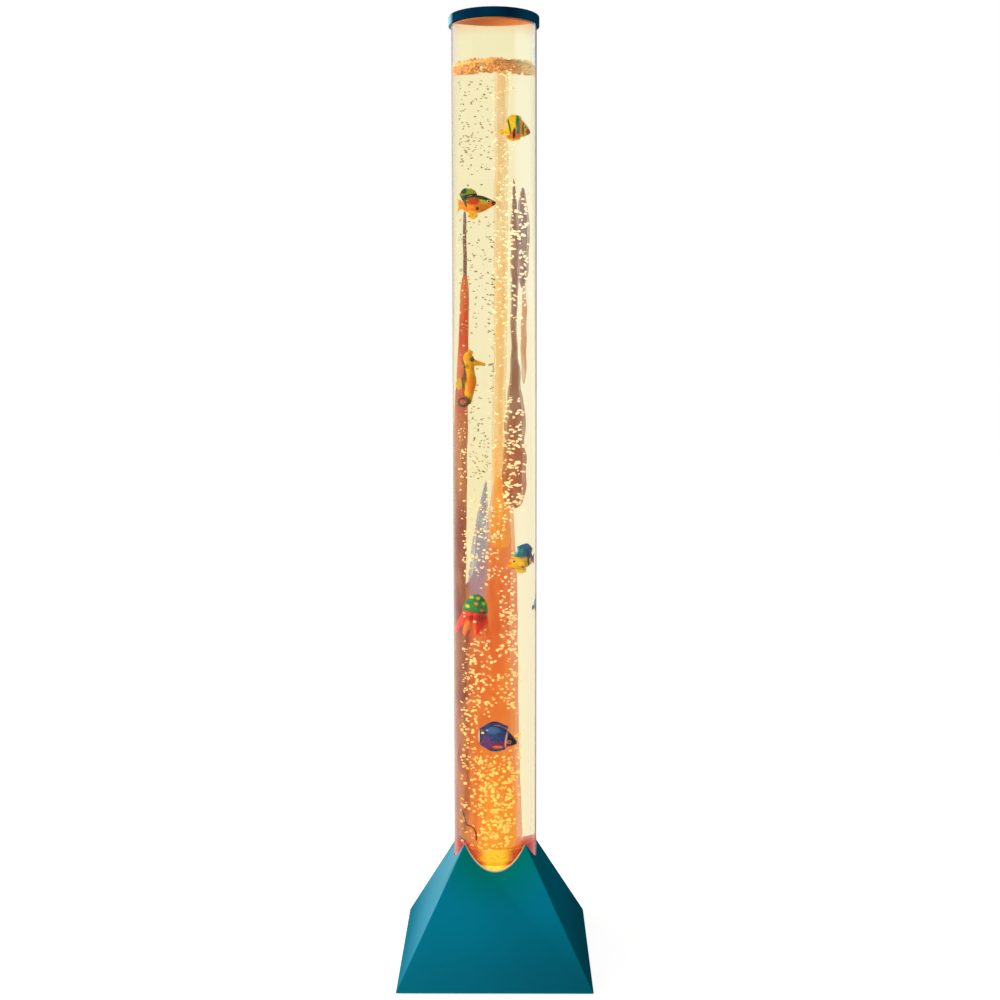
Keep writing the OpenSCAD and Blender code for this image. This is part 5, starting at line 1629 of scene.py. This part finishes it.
def plugFinish():
    mat, sheet = newSheet("litPlug")
    place, apart = sheet.place()
    away = sheet.size(apart[0])
    # bubbles over it are mirrored in it as bright spots
    spot = sheet.span(sheet.cells(place, plug["spotScale"]), 0.18, 0.42, 0.8, 0.0)
    tone = linear(*plug["middleColour"])
    for share, colour in (
            (sheet.span(away, *plug["innerFrom"], smooth=True), "innerColour"),
            (sheet.span(away, *plug["outerFrom"], smooth=True), "outerColour"),
            (sheet.span(sheet.noise(place, plug["rippleScale"]), 0.4, 0.7, 0, 0.35), "rippleColour"),
            (sheet.times(spot, sheet.span(away, *plug["spotTo"], 1.0, 0.0)), "spotColour")):
        tone = sheet.mix(share, tone, linear(*plug[colour]))
    sheet.out(sheet.skin(tone, {"Roughness": 0.25}, plug["glow"]))
    return mat


def ledFinish():
    mat, sheet = newSheet("warmLeds")
    tone = sheet.mix(sheet.noise(sheet.place()[0], 900), linear(255, 226, 120), linear(250, 206, 90))
    sheet.out(sheet.skin(tone, {"Roughness": 0.3}, 1.6))
    return mat


def boardFinish(name, mask, track, pitch):
    # solder mask with darker tracks under it and small pads
    mat, sheet = newSheet(name)
    tracks = sheet.cells(sheet.place()[0], 1 / pitch, distance="CHEBYCHEV")
    line = sheet.span(tracks, 0.36, 0.42)
    tone = sheet.mix(line, linear(*mask), linear(*track))
    tone = sheet.mix(sheet.span(tracks, 0.08, 0.1, 1.0, 0.0), tone, linear(*board["padColour"]))
    sheet.out(sheet.skin(tone, {"Normal": sheet.bump(line, 0.3, 0.0001), "Roughness": 0.35}))
    return mat


board = {
    # ivory plugs above, black chip and navy capacitor below
    "lowUnder": (32.5 * mm, 33.5 * mm),
    "chipColour": (26, 27, 30),
    "capacitorColour": (30, 44, 92), "capacitorFrom": (16.5 * mm, 17 * mm),
    "padColour": (206, 200, 176),
}


def boardPartsTone(sheet, tone):
    place = sheet.place()[1]
    side = sheet.span(place[0], *board["capacitorFrom"])
    dark = sheet.mix(side, linear(*board["chipColour"]), linear(*board["capacitorColour"]))
    return sheet.mix(sheet.span(place[2], *board["lowUnder"], 1.0, 0.0), tone, dark)


cap = {
    # painted highlights where it turns away at the sides, pale at the left end and lighter teal at the right: x
    # from and to, share from and to
    "rightColour": (10, 92, 128), "right": (12 * mm, 34 * mm, 0.0, 0.85),
    "leftColour": (150, 200, 208), "left": (-37 * mm, -41.5 * mm, 0.0, 0.8),
}


def capTone(sheet, tone):
    x = sheet.place()[1][0]
    for side in ("right", "left"):
        tone = sheet.mix(sheet.span(x, *cap[side], smooth=True), tone, linear(*cap[side + "Colour"]))
    return tone


def finishNodes():
    # the parts that keep their shape, by finish
    plastics = (
        ("blackMoulding", (36, 39, 42), (28, 30, 33), ("bottom_plate", "tact_switch", "dc_socket"),
         {"roughness": 0.5, "grain": 1400, "bump": 0.22, "blotch": 60, "sheenColour": (80, 82, 84)}),
        ("pumpHousing", (54, 58, 64), (44, 47, 52), ("pump_case", "pump_lid"),
         {"roughness": 0.45, "grain": 1800, "bump": 0.3, "blotch": 50, "sheenColour": (104, 106, 108)}),
        ("blackRubber", (34, 34, 34), (26, 26, 27),
         ("rubber_feet", "pump_pads", "plug_ring", "nozzle_washer", "diaphragm"),
         {"roughness": 0.82, "grain": 2200, "bump": 0.35, "blotch": 120, "specular": 0.3}),
        ("whiteMoulding", (232, 230, 222), (222, 217, 202), ("tube_socket", "led_tray"),
         {"roughness": 0.42, "grain": 1500, "bump": 0.14}),
        ("ivoryMoulding", (222, 216, 196), (208, 200, 178), ("pump_arm", "valve_block"),
         {"grain": 1700, "bump": 0.14, "blotch": 60, "sheenColour": (236, 232, 220)}),
        ("greyMoulding", (214, 215, 216), (200, 201, 204), ("push_button", "check_valve"),
         {"roughness": 0.35, "grain": 1500, "bump": 0.14, "blotch": 80, "coat": 0.1}),
        ("ferriteMagnet", (78, 80, 84), (62, 63, 68), ("arm_magnet",),
         {"roughness": 0.5, "grain": 3000, "bump": 0.3, "blotch": 200, "metallic": 0.4}),
        ("navyCap", (3, 50, 74), (2, 32, 54), ("top_cap",),
         {"roughness": 0.3, "grain": 1500, "bump": 0.08, "blotch": 45, "amount": 0.9, "spread": 0.12,
          "specular": 0, "retouch": capTone}),
        # pale ring that the light of the column colours from below
        ("warmLiner", (226, 150, 96), (214, 168, 122), ("cap_liner",),
         {"roughness": 0.5, "grain": 1200, "bump": 0.1, "blotch": 40, "amount": 1, "spread": 0.1,
          "glow": 0.1}),
        ("boardParts", (232, 226, 206), (220, 212, 190), ("board_parts",),
         {"grain": 2200, "bump": 0.1, "spread": 0.1, "retouch": boardPartsTone}),
    )
    others = (
        (metalFinish("screwSteel", (190, 192, 196), (150, 152, 158), 0.3, 2200),
         ("plate_screws", "socket_screws", "tray_screws", "board_screws", "pump_screws", "control_screws",
          "arm_pin", "dc_nut")),
        (metalFinish("nozzleBrass", (206, 176, 104), (170, 138, 74), 0.3, 1800),
         ("air_nozzle", "nozzle_nut")),
        (stoneFinish(), ("bubble_head",)),
        (plugFinish(), ("tube_plug",)),
        (ledFinish(), ("leds",)),
        (boardFinish("whiteBoard", (228, 228, 220), (206, 208, 200), 0.0042), ("led_board",)),
        (boardFinish("greenBoard", (40, 112, 62), (26, 84, 46), 0.0036), ("control_board",)),
        (bandedFinish("ironSheets", (120, 118, 116), (60, 56, 54), 2, 0.0005, 0.4, 0.8), ("pump_core",)),
        (bandedFinish("copperWinding", (190, 104, 52), (96, 44, 22), 0, 0.0006, 0.3, 0.7), ("pump_coil",)),
    )
    made = [(plasticFinish(name, colour, second, **look), nodes)
            for name, colour, second, nodes, look in plastics]
    for mat, names in (*made, *others):
        for name in names:
            dress(frame["nodes"][name], mat)


makeRuns()
makeSpring()
finishNodes()
print("hoses, leads, spring and finishes made")
